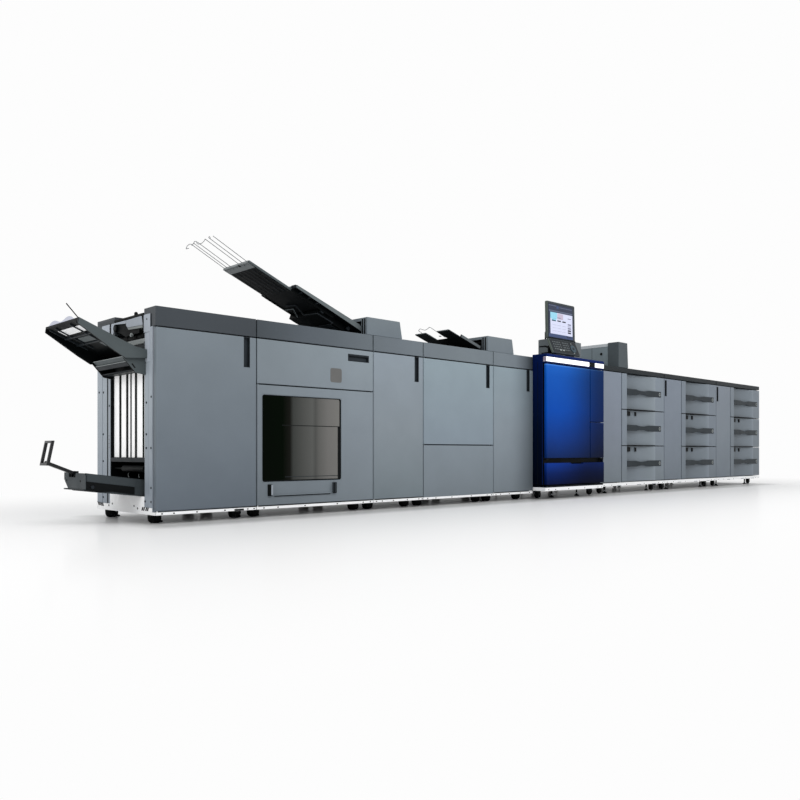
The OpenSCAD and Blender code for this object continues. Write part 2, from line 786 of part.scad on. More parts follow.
function frame_top(i) = i < 5 ? base_top : i == 5 ? engine_base : feeder_base;
function frame_x1(i) = unit_x(i) + unit_w[i] - half;

// A shallow pan that stands upside down.
module pan(x0, x1, y0, y1, z0, z1) {
    difference() {
        block([x0, y0, z0], [x1, y1, z1]);
        block([x0 + rim, y0 + rim, z0 - wide], [x1 - rim, y1 - rim, z1 - plate_t]);
    }
}

module base_frame(i) {
    x0 = unit_x(i) + half;
    x1 = frame_x1(i);
    z1 = frame_top(i);
    z0 = i < 5 ? base_z : base_z + 18;
    pan(x0, x1, 0, unit_depth, z0, z1);
    if (i == 5) pan(x0, front_x1 - half, front_y + 10, rim, z0, z1);
    if (i != 3 && i < 5) hinge_pin(pin_x(x0, 0, -1), 0, z1, 1);
    if (i > 5) hinge_pin(pin_x(0, unit_x(i) + blank_w - half, 1), 0, z1, 1);
}

module base_frames() color(white) for (i = [0 : 8]) base_frame(i);

module caster(x, y, r, top) {
    translate([x, y + caster_w / 2, r]) rotate([90, 0, 0]) cylinder(r = r, h = caster_w);
    block([x - 14, y - caster_w / 2 + 4, r], [x + 14, y + caster_w / 2 - 4, top]);
}

// The middles of the four wheels of unit i; the engine's front ones stand further forward.
function wheel_spots(i) = [
    for (x = [unit_x(i) + caster_left(i), frame_x1(i) - caster_right(i)], k = [0, 1])
        [x, caster_y[k] - (i == 5 && k == 0 ? 55 : 0)]];

module casters() color(black)
    for (i = [0 : 8], p = wheel_spots(i)) caster(p[0], p[1], caster_r(i), frame_top(i) - plate_t);

module levelling_feet() color(dark)
    for (i = [0 : 8], p = wheel_spots(i)) {
        side = p[0] > unit_x(i) + unit_w[i] / 2 ? -1 : 1;
        x = p[0] + (i < 5 ? foot_back : foot_in(i) * side);
        y = p[1] + (i < 5 ? foot_back : 0);
        translate([x, y, 0]) cylinder(r = 16, h = 7);
        translate([x, y, 7]) cylinder(r = 6, h = frame_top(i) - plate_t - 7);
    }

module dock_plates() color(dark)
    for (i = [1 : 8], z = [300, cover_z - 147])
        block([unit_x(i) - half, 260, z], [unit_x(i) + half, 420, z + 60]);

// ---------- assembly ----------

module placed() translate([-origin_x, -origin_y, 0]) children();

placed() {
    booklet_case();
    booklet_cover();
    booklet_door();
    slat_panel();
    slat_bars();
    end_plate();
    exit_unit();
    upper_tray();
    conveyor();
    stop_arm();
    stacker_case();
    stacker_liner();
    stacker_lift();
    stacker_panel();
    stacker_door();
    stacker_window();
    stacker_rail();
    inserter_door();
    folder_panel();
    folder_door();
    unit_cases();
    relay_door();
    unit_covers();
    exit_towers();
    long_tray();
    tray_slide();
    tray_wires();
    small_tray();
    engine_case();
    engine_cap();
    light_bar();
    engine_door();
    side_door_upper();
    side_door_lower();
    engine_drawer();
    panel_post();
    control_panel();
    feeder_tower();
    tower_front();
    feeder_case(0);  // feeder_case_1
    feeder_case(1);  // feeder_case_2
    feeder_case(2);  // feeder_case_3
    feeder_caps();
    base_frames();
    casters();
    levelling_feet();
    dock_plates();
    for (k = [0 : 2]) {
        blank_door(k);
        for (j = [0 : 2])
            drawer(k, j);
    }
}
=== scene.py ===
"""Digital production press: nine docked units in one line, with their looks.

The units stand in a row from the booklet end to the paper feeders. Sizes are line
millimetres: X along the line from the booklet end, Y from the fronts to the backs, Z up.
"""

import json
import logging
import math
from collections.abc import Sequence
from dataclasses import dataclass, field
from enum import Enum

import bmesh
import bpy
from mathutils import Matrix, Vector

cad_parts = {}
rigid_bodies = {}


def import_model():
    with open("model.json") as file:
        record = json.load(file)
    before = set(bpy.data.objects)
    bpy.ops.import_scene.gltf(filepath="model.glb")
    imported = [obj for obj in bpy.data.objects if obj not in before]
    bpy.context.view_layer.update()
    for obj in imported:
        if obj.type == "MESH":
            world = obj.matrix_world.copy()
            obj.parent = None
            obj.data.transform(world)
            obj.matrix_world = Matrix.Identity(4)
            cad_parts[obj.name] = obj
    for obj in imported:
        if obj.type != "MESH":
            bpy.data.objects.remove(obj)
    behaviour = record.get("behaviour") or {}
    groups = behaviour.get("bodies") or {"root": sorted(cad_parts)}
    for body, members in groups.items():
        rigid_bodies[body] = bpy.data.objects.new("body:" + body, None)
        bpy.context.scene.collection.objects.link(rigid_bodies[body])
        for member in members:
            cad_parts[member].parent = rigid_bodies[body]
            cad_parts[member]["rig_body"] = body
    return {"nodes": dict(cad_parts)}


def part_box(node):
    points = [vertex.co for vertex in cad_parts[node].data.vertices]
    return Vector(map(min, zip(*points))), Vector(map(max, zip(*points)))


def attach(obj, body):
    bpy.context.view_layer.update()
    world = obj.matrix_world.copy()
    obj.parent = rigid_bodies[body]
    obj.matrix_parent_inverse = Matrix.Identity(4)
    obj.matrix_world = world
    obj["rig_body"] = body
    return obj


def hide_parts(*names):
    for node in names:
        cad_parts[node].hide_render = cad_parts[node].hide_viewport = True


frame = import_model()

Point = tuple[float, float, float]
Flat = tuple[float, float]
Range = tuple[float, float]
Node = bpy.types.Node
Tree = bpy.types.NodeTree
Object = bpy.types.Object
Output = tuple[Node, int | str]

MM = 0.001
SEAM = 3.25  # half of the gap between two units, in mm
UNIT_TOP = 1040.0  # height of the finishing units' covers
FEEDER_TOP = 1055.0  # height of the feeders' top plates
CUP_WIDTH, CUP_DEPTH = 36.0, 17.0  # the pockets behind the slot handles
CASE_EDGE, DOOR_EDGE = 1.5, 2.4  # width of the bevels
CASE_RIM, RIM_DEPTH = 18.0, 4.0  # the rim round the back of a case
UNIT_LEFTS = (0.0, 564.0, 1382.0, 1806.0, 2497.0, 2950.0, 3850.0, 4905.0, 5960.0)
LINE_END = 7015.0
ENGINE_NUMBER = 5  # the engine's number among the units, from 0
FRONT_LEVELS = (72.0, 500.0, 940.0)  # heights that the fronts' colours are given at
FEEDER_LEVELS = (88.0, 500.0, 1010.0)

SMOOTH_ANGLE = 38.0  # edges sharper than this stay sharp, in degrees
BEVEL_ANGLE = 35.0  # edges of CAD copies sharper than this are bevelled
EDGE_ANGLE = 40.0  # and those of added shapes
FLAT_ANGLE = 0.3  # faces that meet flatter than this are made one
MERGE_GAP = 2e-5  # corners nearer than this are made one, in metres
BACK_GAP = 1e-4  # how near to the back a face counts as the back, in metres
LARGE_FACE = 0.05  # square metres
BEVEL_STEPS = 2
CORNER_POINTS = 5

FINE_DETAIL, CLOUD_DETAIL = 2.0, 3.0
CLOUD_RANGE = (0.3, 0.7)  # nearly all of a noise's values lie between these
GRAINS_PER_CLOUD = 60
BUMP_HEIGHT = 0.0004  # metres

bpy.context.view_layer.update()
LINE_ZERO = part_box("booklet_cover")[0]
log = logging.getLogger("press_line")


def at(x: float, y: float, z: float) -> Vector:
    """A place in the frame, in metres.

    Args:
        x: Distance along the line from the booklet end, in mm.
        y: Distance behind the line's fronts, in mm.
        z: Height above the floor, in mm.

    Returns:
        The same place in the frame.
    """
    return Vector((LINE_ZERO.x + x * MM, LINE_ZERO.y + y * MM, z * MM))


def span(node_name: str) -> tuple[Point, Point]:
    """The lowest and highest corner of a CAD node.

    Args:
        node_name: The CAD node.

    Returns:
        Both corners in line millimetres.
    """
    low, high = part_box(node_name)
    return (
        ((low.x - LINE_ZERO.x) / MM, (low.y - LINE_ZERO.y) / MM, low.z / MM),
        ((high.x - LINE_ZERO.x) / MM, (high.y - LINE_ZERO.y) / MM, high.z / MM),
    )


def srgb(code: str) -> tuple[float, float, float, float]:
    """A linear colour from an sRGB hex code.

    Args:
        code: Six hex digits after a hash.

    Returns:
        Red, green, blue and alpha, linear.
    """
    parts = [int(code[i : i + 2], 16) / 255 for i in (1, 3, 5)]
    linear = [c / 12.92 if c <= 0.04045 else ((c + 0.055) / 1.055) ** 2.4 for c in parts]
    return (linear[0], linear[1], linear[2], 1.0)


def add_node(
    tree: Tree, kind: str, settings: dict | None = None, links: dict[int | str, Output] | None = None
) -> Node:
    """Adds one node to a tree.

    Args:
        tree: The node tree.
        kind: The node's type name.
        settings: Its properties, and the values of its inputs by name or number.
        links: Its inputs by name or number, each with a node and that node's output.

    Returns:
        The new node.
    """
    made = tree.nodes.new(kind)
    for key, value in (settings or {}).items():
        if isinstance(key, int) or key in made.inputs:
            made.inputs[key].default_value = value
        else:
            setattr(made, key, value)
    for key, (source, output) in (links or {}).items():
        tree.links.new(source.outputs[output], made.inputs[key])
    return made


def add_noise(tree: Tree, place: Output, scale: float, detail: float = FINE_DETAIL) -> Node:
    """Adds a noise texture.

    Args:
        tree: The node tree.
        place: The coordinates that it is laid on.
        scale: How many of its grains go into a metre.
        detail: How many finer layers it has.

    Returns:
        The new node.
    """
    return add_node(tree, "ShaderNodeTexNoise", {"Scale": scale, "Detail": detail}, {"Vector": place})


def add_range(
    tree: Tree, source: Output, given: Range, wanted: Range = (0.0, 1.0), kind: str = "LINEAR"
) -> Node:
    """Adds a node that turns one range of values into another.

    Args:
        tree: The node tree.
        source: The value.
        given: The range that it comes in.
        wanted: The range that it goes out in.
        kind: The kind of interpolation.

    Returns:
        The new node.
    """
    ends = zip(("From Min", "From Max", "To Min", "To Max"), (*given, *wanted))
    settings = {"interpolation_type": kind, **dict(ends)}
    return add_node(tree, "ShaderNodeMapRange", settings, {"Value": source})


def add_clouds(tree: Tree, place: Output, scale: float, mean: float, spread: float) -> Node:
    """Adds a value that drifts softly from place to place.

    Args:
        tree: The node tree.
        place: The coordinates.
        scale: How many clouds go into a metre.
        mean: The value's mean.
        spread: How far it strays either way.

    Returns:
        The new node.
    """
    clouds = add_noise(tree, place, scale, CLOUD_DETAIL)
    return add_range(tree, (clouds, "Fac"), CLOUD_RANGE, (mean - spread, mean + spread))


def add_ramp(tree: Tree, share: Output, stops: Sequence[tuple[float, str]]) -> Node:
    """Adds a ramp of colours.

    Args:
        tree: The node tree.
        share: The place on the ramp, from 0 to 1.
        stops: The places of its colours, from 0 to 1, each with its colour.

    Returns:
        The new node.
    """
    ramp = add_node(tree, "ShaderNodeValToRGB", {}, {"Fac": share})
    band = ramp.color_ramp
    first, *inner, last = stops
    band.elements[0].color = srgb(first[1])
    band.elements[1].color = srgb(last[1])
    for level, code in inner:
        band.elements.new(level).color = srgb(code)
    return ramp


def tint(tree: Tree, shader: Node, tone: Output, shade: Output) -> None:
    """Gives a shader a colour times a shade.

    Args:
        tree: The node tree.
        shader: The principled shader.
        tone: The colour.
        shade: What it is multiplied by.
    """
    settings = {"data_type": "RGBA", "blend_type": "MULTIPLY", 0: 1.0}
    tinted = add_node(tree, "ShaderNodeMix", settings, {6: tone, 7: shade})
    tree.links.new(tinted.outputs[2], shader.inputs["Base Color"])


class Slot(Enum):
    """The record's material slots."""

    PANEL = "panel_paint"
    STEEL = "frame_steel"
    COVER = "dark_cover"
    BLACK = "black_plastic"
    WHITE = "white_paint"
    GLASS = "smoked_glass"
    LINER = "liner"
    BRIGHT = "bright_steel"
    BLUE = "engine_blue"
    NAVY = "engine_navy"
    LIGHT = "light_white"
    RUBBER = "rubber_black"


class Axis(Enum):
    """A direction of the frame, by its number."""

    X = 0
    Y = 1
    Z = 2

    def unit(self, ahead: int = 0) -> Vector:
        """The unit vector of this axis, or of one that comes after it."""
        vector = Vector((0.0, 0.0, 0.0))
        vector[(self.value + ahead) % 3] = 1.0
        return vector


@dataclass(frozen=True)
class Finish:
    """A surface finish: its material is made once and shared.

    Attributes:
        name: The material's name.
        slot: The record's slot that the finish belongs to; not used.
        color: The main colour.
        roughness: The mean roughness.
        specular: The specular level.
    """

    name: str
    slot: Slot
    color: str
    roughness: float = 0.45
    specular: float = 0.15

    def material(self) -> bpy.types.Material:
        """The finish's material, made at its first use."""
        made = bpy.data.materials.get(self.name)
        if made is not None:
            return made
        made = bpy.data.materials.new(self.name)
        made.use_nodes = True
        tree = made.node_tree
        tree.nodes.clear()
        place = (add_node(tree, "ShaderNodeTexCoord"), "Object")
        settings = {
            "Base Color": srgb(self.color),
            "Roughness": self.roughness,
            "Specular IOR Level": self.specular,
        }
        shader = add_node(tree, "ShaderNodeBsdfPrincipled", settings)
        self.dress(tree, shader, place)
        add_node(tree, "ShaderNodeOutputMaterial", {}, {"Surface": (shader, "BSDF")})
        return made

    def dress(self, tree: Tree, shader: Node, place: Output) -> None:
        """Adds the finish's own pattern.

        Args:
            tree: The material's tree.
            shader: The principled shader.
            place: The texture coordinates.
        """
        self.grain(tree, shader, place, 2.0, 0.04, 0.05)

    def grain(
        self, tree: Tree, shader: Node, place: Output, size: float, bump: float, spread: float
    ) -> None:
        """Gives the surface a fine bump and an uneven gloss.

        Args:
            tree: The material's tree.
            shader: The principled shader.
            place: The texture coordinates.
            size: The grain's size in mm.
            bump: The bump's strength.
            spread: How far the roughness strays either way.
        """
        fine = add_noise(tree, place, 1000 / size)
        gloss = add_clouds(tree, place, 1000 / (size * GRAINS_PER_CLOUD), self.roughness, spread)
        tree.links.new(gloss.outputs["Result"], shader.inputs["Roughness"])
        settings = {"Strength": bump, "Distance": BUMP_HEIGHT}
        skin = add_node(tree, "ShaderNodeBump", settings, {"Height": (fine, "Fac")})
        tree.links.new(skin.outputs["Normal"], shader.inputs["Normal"])


@dataclass(frozen=True)
class PaintedSteel(Finish):
    """Powder-coated sheet steel.

    The baked powder leaves a satin skin with a faint orange peel, which softens every
    reflection. The ramp of colour from the bottom of a panel to its top, or along the line,
    is painted light and shade, and so is the darkening along the line.

    Attributes:
        stops: Places in mm along one axis, each with the colour there, from low to high; painted light and
            shade.
        ramp_axis: That axis; heights unless it is said otherwise.
        dim_from: Where along the line the painted shade starts to darken the colour, in mm.
        dim_to: Where the painted shade is darkest.
        dim: What is left of the colour there.
        peel: Size of the orange peel in mm, drawn coarser than real so that it shows.
    """

    stops: tuple[tuple[float, str], ...] = ()
    ramp_axis: Axis = Axis.Z
    dim_from: float = 0.0
    dim_to: float = 0.0
    dim: float = 1.0
    peel: float = 5.0

    def dress(self, tree: Tree, shader: Node, place: Output) -> None:
        """Adds the ramp and the darkening, both painted light and shade, the mottling and the orange peel.

        Args:
            tree: The material's tree.
            shader: The principled shader.
            place: The texture coordinates.
        """
        axes = add_node(tree, "ShaderNodeSeparateXYZ", {}, {"Vector": place})
        stops = self.stops or ((0.0, self.color), (1000.0, self.color))
        low, high = stops[0][0], stops[-1][0]
        axis = self.ramp_axis
        ends = (at(low, low, low)[axis.value], at(high, high, high)[axis.value])
        share = add_range(tree, (axes, axis.name), ends)
        levels = [((level - low) / (high - low), code) for level, code in stops]
        ramp = add_ramp(tree, (share, "Result"), levels)
        shade = add_clouds(tree, place, 6.0, 1.0, 0.03)
        # Painted shade: the colour darkens along the line between dim_from and dim_to.
        if self.dim < 1.0:
            ends = (at(self.dim_from, 0, 0).x, at(self.dim_to, 0, 0).x)
            painted_shade = add_range(tree, (axes, "X"), ends, (1.0, self.dim), "SMOOTHSTEP")
            factors = {0: (shade, "Result"), 1: (painted_shade, "Result")}
            shade = add_node(tree, "ShaderNodeMath", {"operation": "MULTIPLY"}, factors)
        tint(tree, shader, (ramp, "Color"), (shade, 0))
        self.grain(tree, shader, place, self.peel, 0.10, 0.04)


@dataclass(frozen=True)
class MouldedPlastic(Finish):
    """Injection-moulded ABS.

    The mould's spark-eroded texture gives a dull, fine-pored skin that scatters light
    and hides finger marks; its convex edges are made a little lighter.

    Attributes:
        pore: Size of the mould texture in mm.
        edge_lightening: How much lighter the convex edges are.
    """

    pore: float = 1.6
    edge_lightening: float = 0.35

    def dress(self, tree: Tree, shader: Node, place: Output) -> None:
        """Adds the mould texture and the lighter convex edges.

        Args:
            tree: The material's tree.
            shader: The principled shader.
            place: The texture coordinates.
        """
        shape = add_node(tree, "ShaderNodeNewGeometry")
        edge = add_range(tree, (shape, "Pointiness"), (0.52, 0.62), (0.0, self.edge_lightening))
        main = srgb(self.color)
        edge_color = tuple(min(1.0, c * 1.8 + 0.02) for c in main[:3]) + (1.0,)
        settings = {"data_type": "RGBA", 6: main, 7: edge_color}
        tone = add_node(tree, "ShaderNodeMix", settings, {0: (edge, "Result")})
        shade = add_clouds(tree, place, 9.0, 1.0, 0.07)
        tint(tree, shader, (tone, 2), (shade, "Result"))
        self.grain(tree, shader, place, self.pore, 0.18, 0.06)


@dataclass(frozen=True)
class PlatedSteel(Finish):
    """Zinc- or nickel-plated steel.

    Plating leaves a bright metal with fine drawing lines along each part, so its
    highlights stretch and break up.
    """

    def dress(self, tree: Tree, shader: Node, place: Output) -> None:
        """Adds the drawing lines.

        Args:
            tree: The material's tree.
            shader: The principled shader.
            place: The texture coordinates.
        """
        shader.inputs["Metallic"].default_value = 1.0
        lines = add_node(tree, "ShaderNodeMapping", {"Scale": (1.0, 1.0, 30.0)}, {"Vector": place})
        drawn = add_noise(tree, (lines, "Vector"), 60.0)
        wanted = (self.roughness - 0.08, self.roughness + 0.1)
        gloss = add_range(tree, (drawn, "Fac"), (0.0, 1.0), wanted)
        tree.links.new(gloss.outputs["Result"], shader.inputs["Roughness"])


@dataclass(frozen=True)
class SmokedAcrylic(Finish):
    """Cast smoked acrylic sheet.

    Polished on both faces, it shows sharp reflections over a brown-grey depth in which
    the bay behind can be made out only faintly. Its colour runs from black at one side to
    pale brown-grey at the other: painted shade, light and reflection of the bay behind it.

    Attributes:
        painted_light_color: The painted colour at the lit side.
        x_dark: Where along the line the painted shade is darkest, in mm.
        x_painted_light: Where the painted light is palest.
        clear: How much light passes through.
        tones: The painted colours between the two sides, by their places from 0 to 1.
    """

    painted_light_color: str = "#6e6c66"
    x_dark: float = 0.0
    x_painted_light: float = 1.0
    clear: float = 0.15
    tones: tuple[tuple[float, str], ...] = (
        (0.25, "#000600"), (0.34, "#151512"), (0.38, "#3b3d3b"), (0.5, "#4b4c4a"), (0.62, "#575856"),
        (0.66, "#4d4e4c"), (0.7, "#5b5b59"), (0.82, "#6c6b69"),
    )

    def dress(self, tree: Tree, shader: Node, place: Output) -> None:
        """Adds the painted shade, light and reflection along the sheet.

        Args:
            tree: The material's tree.
            shader: The principled shader.
            place: The texture coordinates.
        """
        shader.inputs["IOR"].default_value = 1.49
        shader.inputs["Transmission Weight"].default_value = self.clear
        axes = add_node(tree, "ShaderNodeSeparateXYZ", {}, {"Vector": place})
        along = add_range(tree, (axes, "X"), (at(self.x_dark, 0, 0).x, at(self.x_painted_light, 0, 0).x))
        stops = ((0.0, self.color), *self.tones, (1.0, self.painted_light_color))
        ramp = add_ramp(tree, (along, "Result"), stops)
        tree.links.new(ramp.outputs["Color"], shader.inputs["Base Color"])


@dataclass(frozen=True)
class LitPlastic(Finish):
    """A milky diffuser or a screen with light behind it.

    The opal plastic spreads the lamps behind it, so the face glows evenly, with a grid
    of dots or a soft cloudiness that only shows close up. On parts with no lamp behind
    them, such as the white slats and the tray's lip, the glow is painted light.

    Attributes:
        glow: The strength of the light.
        cell: Size of the pattern in mm.
    """

    glow: float = 0.6
    cell: float = 1.2

    def dress(self, tree: Tree, shader: Node, place: Output) -> None:
        """Adds the glow with its fine pattern.

        Args:
            tree: The material's tree.
            shader: The principled shader.
            place: The texture coordinates.
        """
        shader.inputs["Emission Strength"].default_value = self.glow
        cloud = add_noise(tree, place, 1000 / self.cell, 0.0)
        main = srgb(self.color)
        dimmer = tuple(c * 0.93 for c in main[:3]) + (1.0,)
        settings = {"data_type": "RGBA", 6: dimmer, 7: main}
        tone = add_node(tree, "ShaderNodeMix", settings, {0: (cloud, "Fac")})
        for socket in ("Emission Color", "Base Color"):
            tree.links.new(tone.outputs[2], shader.inputs[socket])


def deselect_all() -> None:
    """Leaves nothing selected."""
    bpy.ops.object.select_all(action="DESELECT")


def make_active(obj: Object) -> None:
    """Selects one object alone and makes it the active one."""
    deselect_all()
    obj.select_set(True)
    bpy.context.view_layer.objects.active = obj


def finish_shape(obj: Object, body: str) -> Object:
    """Smooths a finished piece and puts it on its body.

    Args:
        obj: The piece.
        body: The CAD body that it rides on.

    Returns:
        The same piece.
    """
    make_active(obj)
    bpy.ops.object.shade_smooth_by_angle(angle=math.radians(SMOOTH_ANGLE))
    weighted = obj.modifiers.new("weighted", "WEIGHTED_NORMAL")
    weighted.keep_sharp = True
    bpy.ops.object.modifier_apply(modifier=weighted.name)
    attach(obj, body)
    log.info("%s rides on %s with %d faces", obj.name, body, len(obj.data.polygons))
    return obj


def soften(
    node_name: str,
    *finishes: Finish,
    edge: float,
    steps: int = 2,
    back_inset: float = 0.0,
) -> Object:
    """Makes the bevelled copy that stands for a CAD node.

    Args:
        node_name: The CAD node.
        finishes: The finishes of its faces; the first is everywhere until painted.
        edge: Width of the bevel in mm.
        steps: Number of faces across the bevel.
        back_inset: How far in from its edges the back face is let in, in mm, if it is.

    Returns:
        The copy, riding on the node's body.
    """
    source = frame["nodes"][node_name]
    shell = bpy.data.objects.new(node_name + "_shell", source.data.copy())
    bpy.context.scene.collection.objects.link(shell)
    shell.data.materials.clear()
    for finish in finishes:
        shell.data.materials.append(finish.material())
    make_active(shell)
    bpy.ops.object.mode_set(mode="EDIT")
    bpy.ops.mesh.select_all(action="SELECT")
    bpy.ops.mesh.remove_doubles(threshold=MERGE_GAP)
    bpy.ops.mesh.dissolve_limited(angle_limit=math.radians(FLAT_ANGLE))
    bpy.ops.object.mode_set(mode="OBJECT")
    rounded_edges = shell.modifiers.new("edges", "BEVEL")
    rounded_edges.limit_method = "ANGLE"
    rounded_edges.angle_limit = math.radians(BEVEL_ANGLE)
    rounded_edges.width = edge * MM
    rounded_edges.segments = steps
    rounded_edges.use_clamp_overlap = False
    bpy.ops.object.modifier_apply(modifier=rounded_edges.name)
    if back_inset > 0:
        sink_back(shell, back_inset)
    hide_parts(node_name)
    return finish_shape(shell, source["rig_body"])


def sink_back(obj: Object, inset: float) -> None:
    """Lets in the large faces at the back of a case, as a panel inside a rim.

    Args:
        obj: The case.
        inset: Width of the rim in mm.
    """
    back = max(v.co.y for v in obj.data.vertices)
    make_active(obj)
    bpy.ops.object.mode_set(mode="EDIT")
    bpy.ops.mesh.select_all(action="DESELECT")
    bpy.ops.mesh.select_mode(type="FACE")
    mesh = bmesh.from_edit_mesh(obj.data)
    for face in mesh.faces:
        at_back = face.calc_center_median().y > back - BACK_GAP
        face.select_set(at_back and face.normal.y > 0.99 and face.calc_area() > LARGE_FACE)
    bmesh.update_edit_mesh(obj.data)
    bpy.ops.mesh.inset(thickness=inset * MM, depth=-RIM_DEPTH * MM, use_individual=True)
    bpy.ops.mesh.select_mode(type="VERT")
    bpy.ops.object.mode_set(mode="OBJECT")


def paint(obj: Object, index: int, low: Point, high: Point) -> None:
    """Gives one finish to every face that lies wholly inside a box.

    Args:
        obj: The piece.
        index: Which of its finishes.
        low: The box's lowest corner in line mm.
        high: Its highest corner.
    """
    bottom = at(*low)
    top = at(*high)
    inside = [all(bottom[i] <= v.co[i] <= top[i] for i in range(3)) for v in obj.data.vertices]
    for face in obj.data.polygons:
        if all(inside[v] for v in face.vertices):
            face.material_index = index


def rounded(x0: float, y0: float, x1: float, y1: float, r: float) -> list[Flat]:
    """The outline of a rectangle with round corners.

    Args:
        x0: Left side.
        y0: Lower side.
        x1: Right side.
        y1: Upper side.
        r: Radius of the corners.

    Returns:
        The outline's points, all in mm.
    """
    points: list[Flat] = []
    centres = ((x1 - r, y1 - r), (x0 + r, y1 - r), (x0 + r, y0 + r), (x1 - r, y0 + r))
    for quarter, (cx, cy) in enumerate(centres):
        for i in range(CORNER_POINTS):
            turn = math.radians(90 * quarter + 90 * i / (CORNER_POINTS - 1))
            points.append((cx + r * math.cos(turn), cy + r * math.sin(turn)))
    return points


def circle(u: float, v: float, radius: float, sides: int) -> list[Flat]:
    """The outline of a circle.

    Args:
        u: Its middle in the first direction.
        v: Its middle in the second direction.
        radius: Its radius.
        sides: Number of its corners.

    Returns:
        The outline's points, all in mm.
    """
    turns = (math.tau * i / sides for i in range(sides))
    return [(u + radius * math.cos(turn), v + radius * math.sin(turn)) for turn in turns]


def lay(outline: list[Flat], axis: Axis, level: float) -> list[Vector]:
    """The places of an outline in the frame.

    Args:
        outline: Its corners in the two other axes, in their order X, Y, Z.
        axis: The axis square to it.
        level: Its place along that axis.

    Returns:
        The places of its corners, in metres.
    """
    places = []
    for corner in outline:
        where = list(corner)
        where.insert(axis.value, level)
        places.append(at(*where))
    return places


class Bench:
    """A piece being built in edit mode out of several shapes, in line millimetres."""

    def __init__(self, name: str, body: str, *finishes: Finish) -> None:
        """Opens an empty piece.

        Args:
            name: The piece's name.
            body: The CAD body that it will ride on.
            finishes: Its finishes, called by their number.
        """
        deselect_all()
        bpy.ops.object.add(type="MESH")
        self.piece = bpy.context.object
        self.piece.name = name
        self.piece.data.name = name
        self.body = body
        self.finishes = finishes
        for finish in finishes:
            self.piece.data.materials.append(finish.material())
        bpy.ops.object.mode_set(mode="EDIT")

    def settle(self, finish: int, soft: float) -> None:
        """Orients, paints and bevels the shape just added, then hides it.

        Args:
            finish: The number of its finish.
            soft: Width of the bevel in mm.
        """
        bpy.ops.mesh.select_all(action="SELECT")
        bpy.ops.mesh.normals_make_consistent(inside=False)
        self.piece.active_material_index = finish
        bpy.ops.object.material_slot_assign()
        if soft > 0:
            bpy.ops.mesh.select_all(action="DESELECT")
            bpy.ops.mesh.edges_select_sharp(sharpness=math.radians(EDGE_ANGLE))
            bpy.ops.mesh.bevel(
                offset=soft * MM, segments=BEVEL_STEPS, affect="EDGES", clamp_overlap=True
            )
            bpy.ops.mesh.select_all(action="SELECT")
        bpy.ops.mesh.hide(unselected=False)

    def box(self, low: Point, high: Point, soft: float = 0.8, finish: int = 0) -> None:
        """Adds a block with soft edges.

        Args:
            low: Its lowest corner.
            high: Its highest corner.
            soft: Width of the bevel.
            finish: The number of its finish.
        """
        a = at(*low)
        b = at(*high)
        bpy.ops.mesh.primitive_cube_add(size=1, location=(a + b) / 2, scale=b - a)
        self.settle(finish, soft)

    def rod(
        self,
        start: Point,
        end: Point,
        radius: float,
        soft: float = 0.4,
        finish: int = 0,
        sides: int = 20,
    ) -> None:
        """Adds a round bar between two points.

        Args:
            start: The middle of one end.
            end: The middle of the other end.
            radius: Its radius.
            soft: Width of the bevel on its rims.
            finish: The number of its finish.
            sides: Number of sides.
        """
        a = at(*start)
        b = at(*end)
        way = b - a
        bpy.ops.mesh.primitive_cone_add(
            vertices=sides,
            radius1=radius * MM,
            radius2=radius * MM,
            depth=way.length,
            location=(a + b) / 2,
            rotation=way.to_track_quat("Z", "Y").to_euler(),
        )
        self.settle(finish, soft)

    def wire(self, points: list[Point], radius: float, finish: int = 0, sides: int = 8) -> None:
        """Adds a bent wire: straight lengths that meet in round bends.

        Args:
            points: Its course.
            radius: Its radius.
            finish: The number of its finish.
            sides: Number of sides.
        """
        for start, end in zip(points, points[1:]):
            self.rod(start, end, radius, 0, finish, sides)
        for bend in points[1:-1]:
            bpy.ops.mesh.primitive_uv_sphere_add(
                segments=sides, ring_count=6, radius=radius * MM, location=at(*bend)
            )
            self.settle(finish, 0)

    def plate(
        self,
        outline: list[Flat],
        axis: Axis,
        near: float,
        far: float,
        soft: float = 0.6,
        finish: int = 0,
    ) -> None:
        """Adds a plate with any outline.

        Args:
            outline: Its corners in the two other axes, in their order X, Y, Z.
            axis: The direction of its thickness.
            near: Where it starts along that axis.
            far: Where it ends.
            soft: Width of the bevel.
            finish: The number of its finish.
        """
        self.add_loop(lay(outline, axis, near), "NGON")
        self.extrude(axis, far - near)
        self.settle(finish, soft)

    def add_loop(self, places: list[Vector], fill: str = "NOTHING") -> None:
        """Adds a closed loop.

        Args:
            places: Its corners in the frame, in metres.
            fill: What it is filled with.
        """
        bpy.ops.mesh.primitive_circle_add(vertices=len(places), fill_type=fill)
        mesh = bmesh.from_edit_mesh(self.piece.data)
        corners = [v for v in mesh.verts if v.select and not v.hide]
        for corner, place in zip(corners, places):
            corner.co = place
        bmesh.update_edit_mesh(self.piece.data)

    def extrude(self, axis: Axis, thickness: float) -> None:
        """Gives what is selected a thickness in mm along an axis."""
        push = axis.unit() * (thickness * MM)
        bpy.ops.mesh.extrude_region_move(TRANSFORM_OT_translate={"value": push})

    def ring(
        self,
        inner: list[Flat],
        outer: list[Flat],
        axis: Axis,
        near: float,
        far: float,
        soft: float = 0.4,
        finish: int = 0,
    ) -> None:
        """Adds a flat frame between two outlines with the same number of corners.

        Args:
            inner: The opening's corners.
            outer: The frame's outer corners.
            axis: The direction of its thickness.
            near: Where it starts along that axis.
            far: Where it ends.
            soft: Width of the bevel.
            finish: The number of its finish.
        """
        for outline in (inner, outer):
            self.add_loop(lay(outline, axis, near))
        bpy.ops.mesh.select_all(action="SELECT")
        bpy.ops.mesh.bridge_edge_loops()
        bpy.ops.mesh.select_all(action="SELECT")
        self.extrude(axis, far - near)
        self.settle(finish, soft)

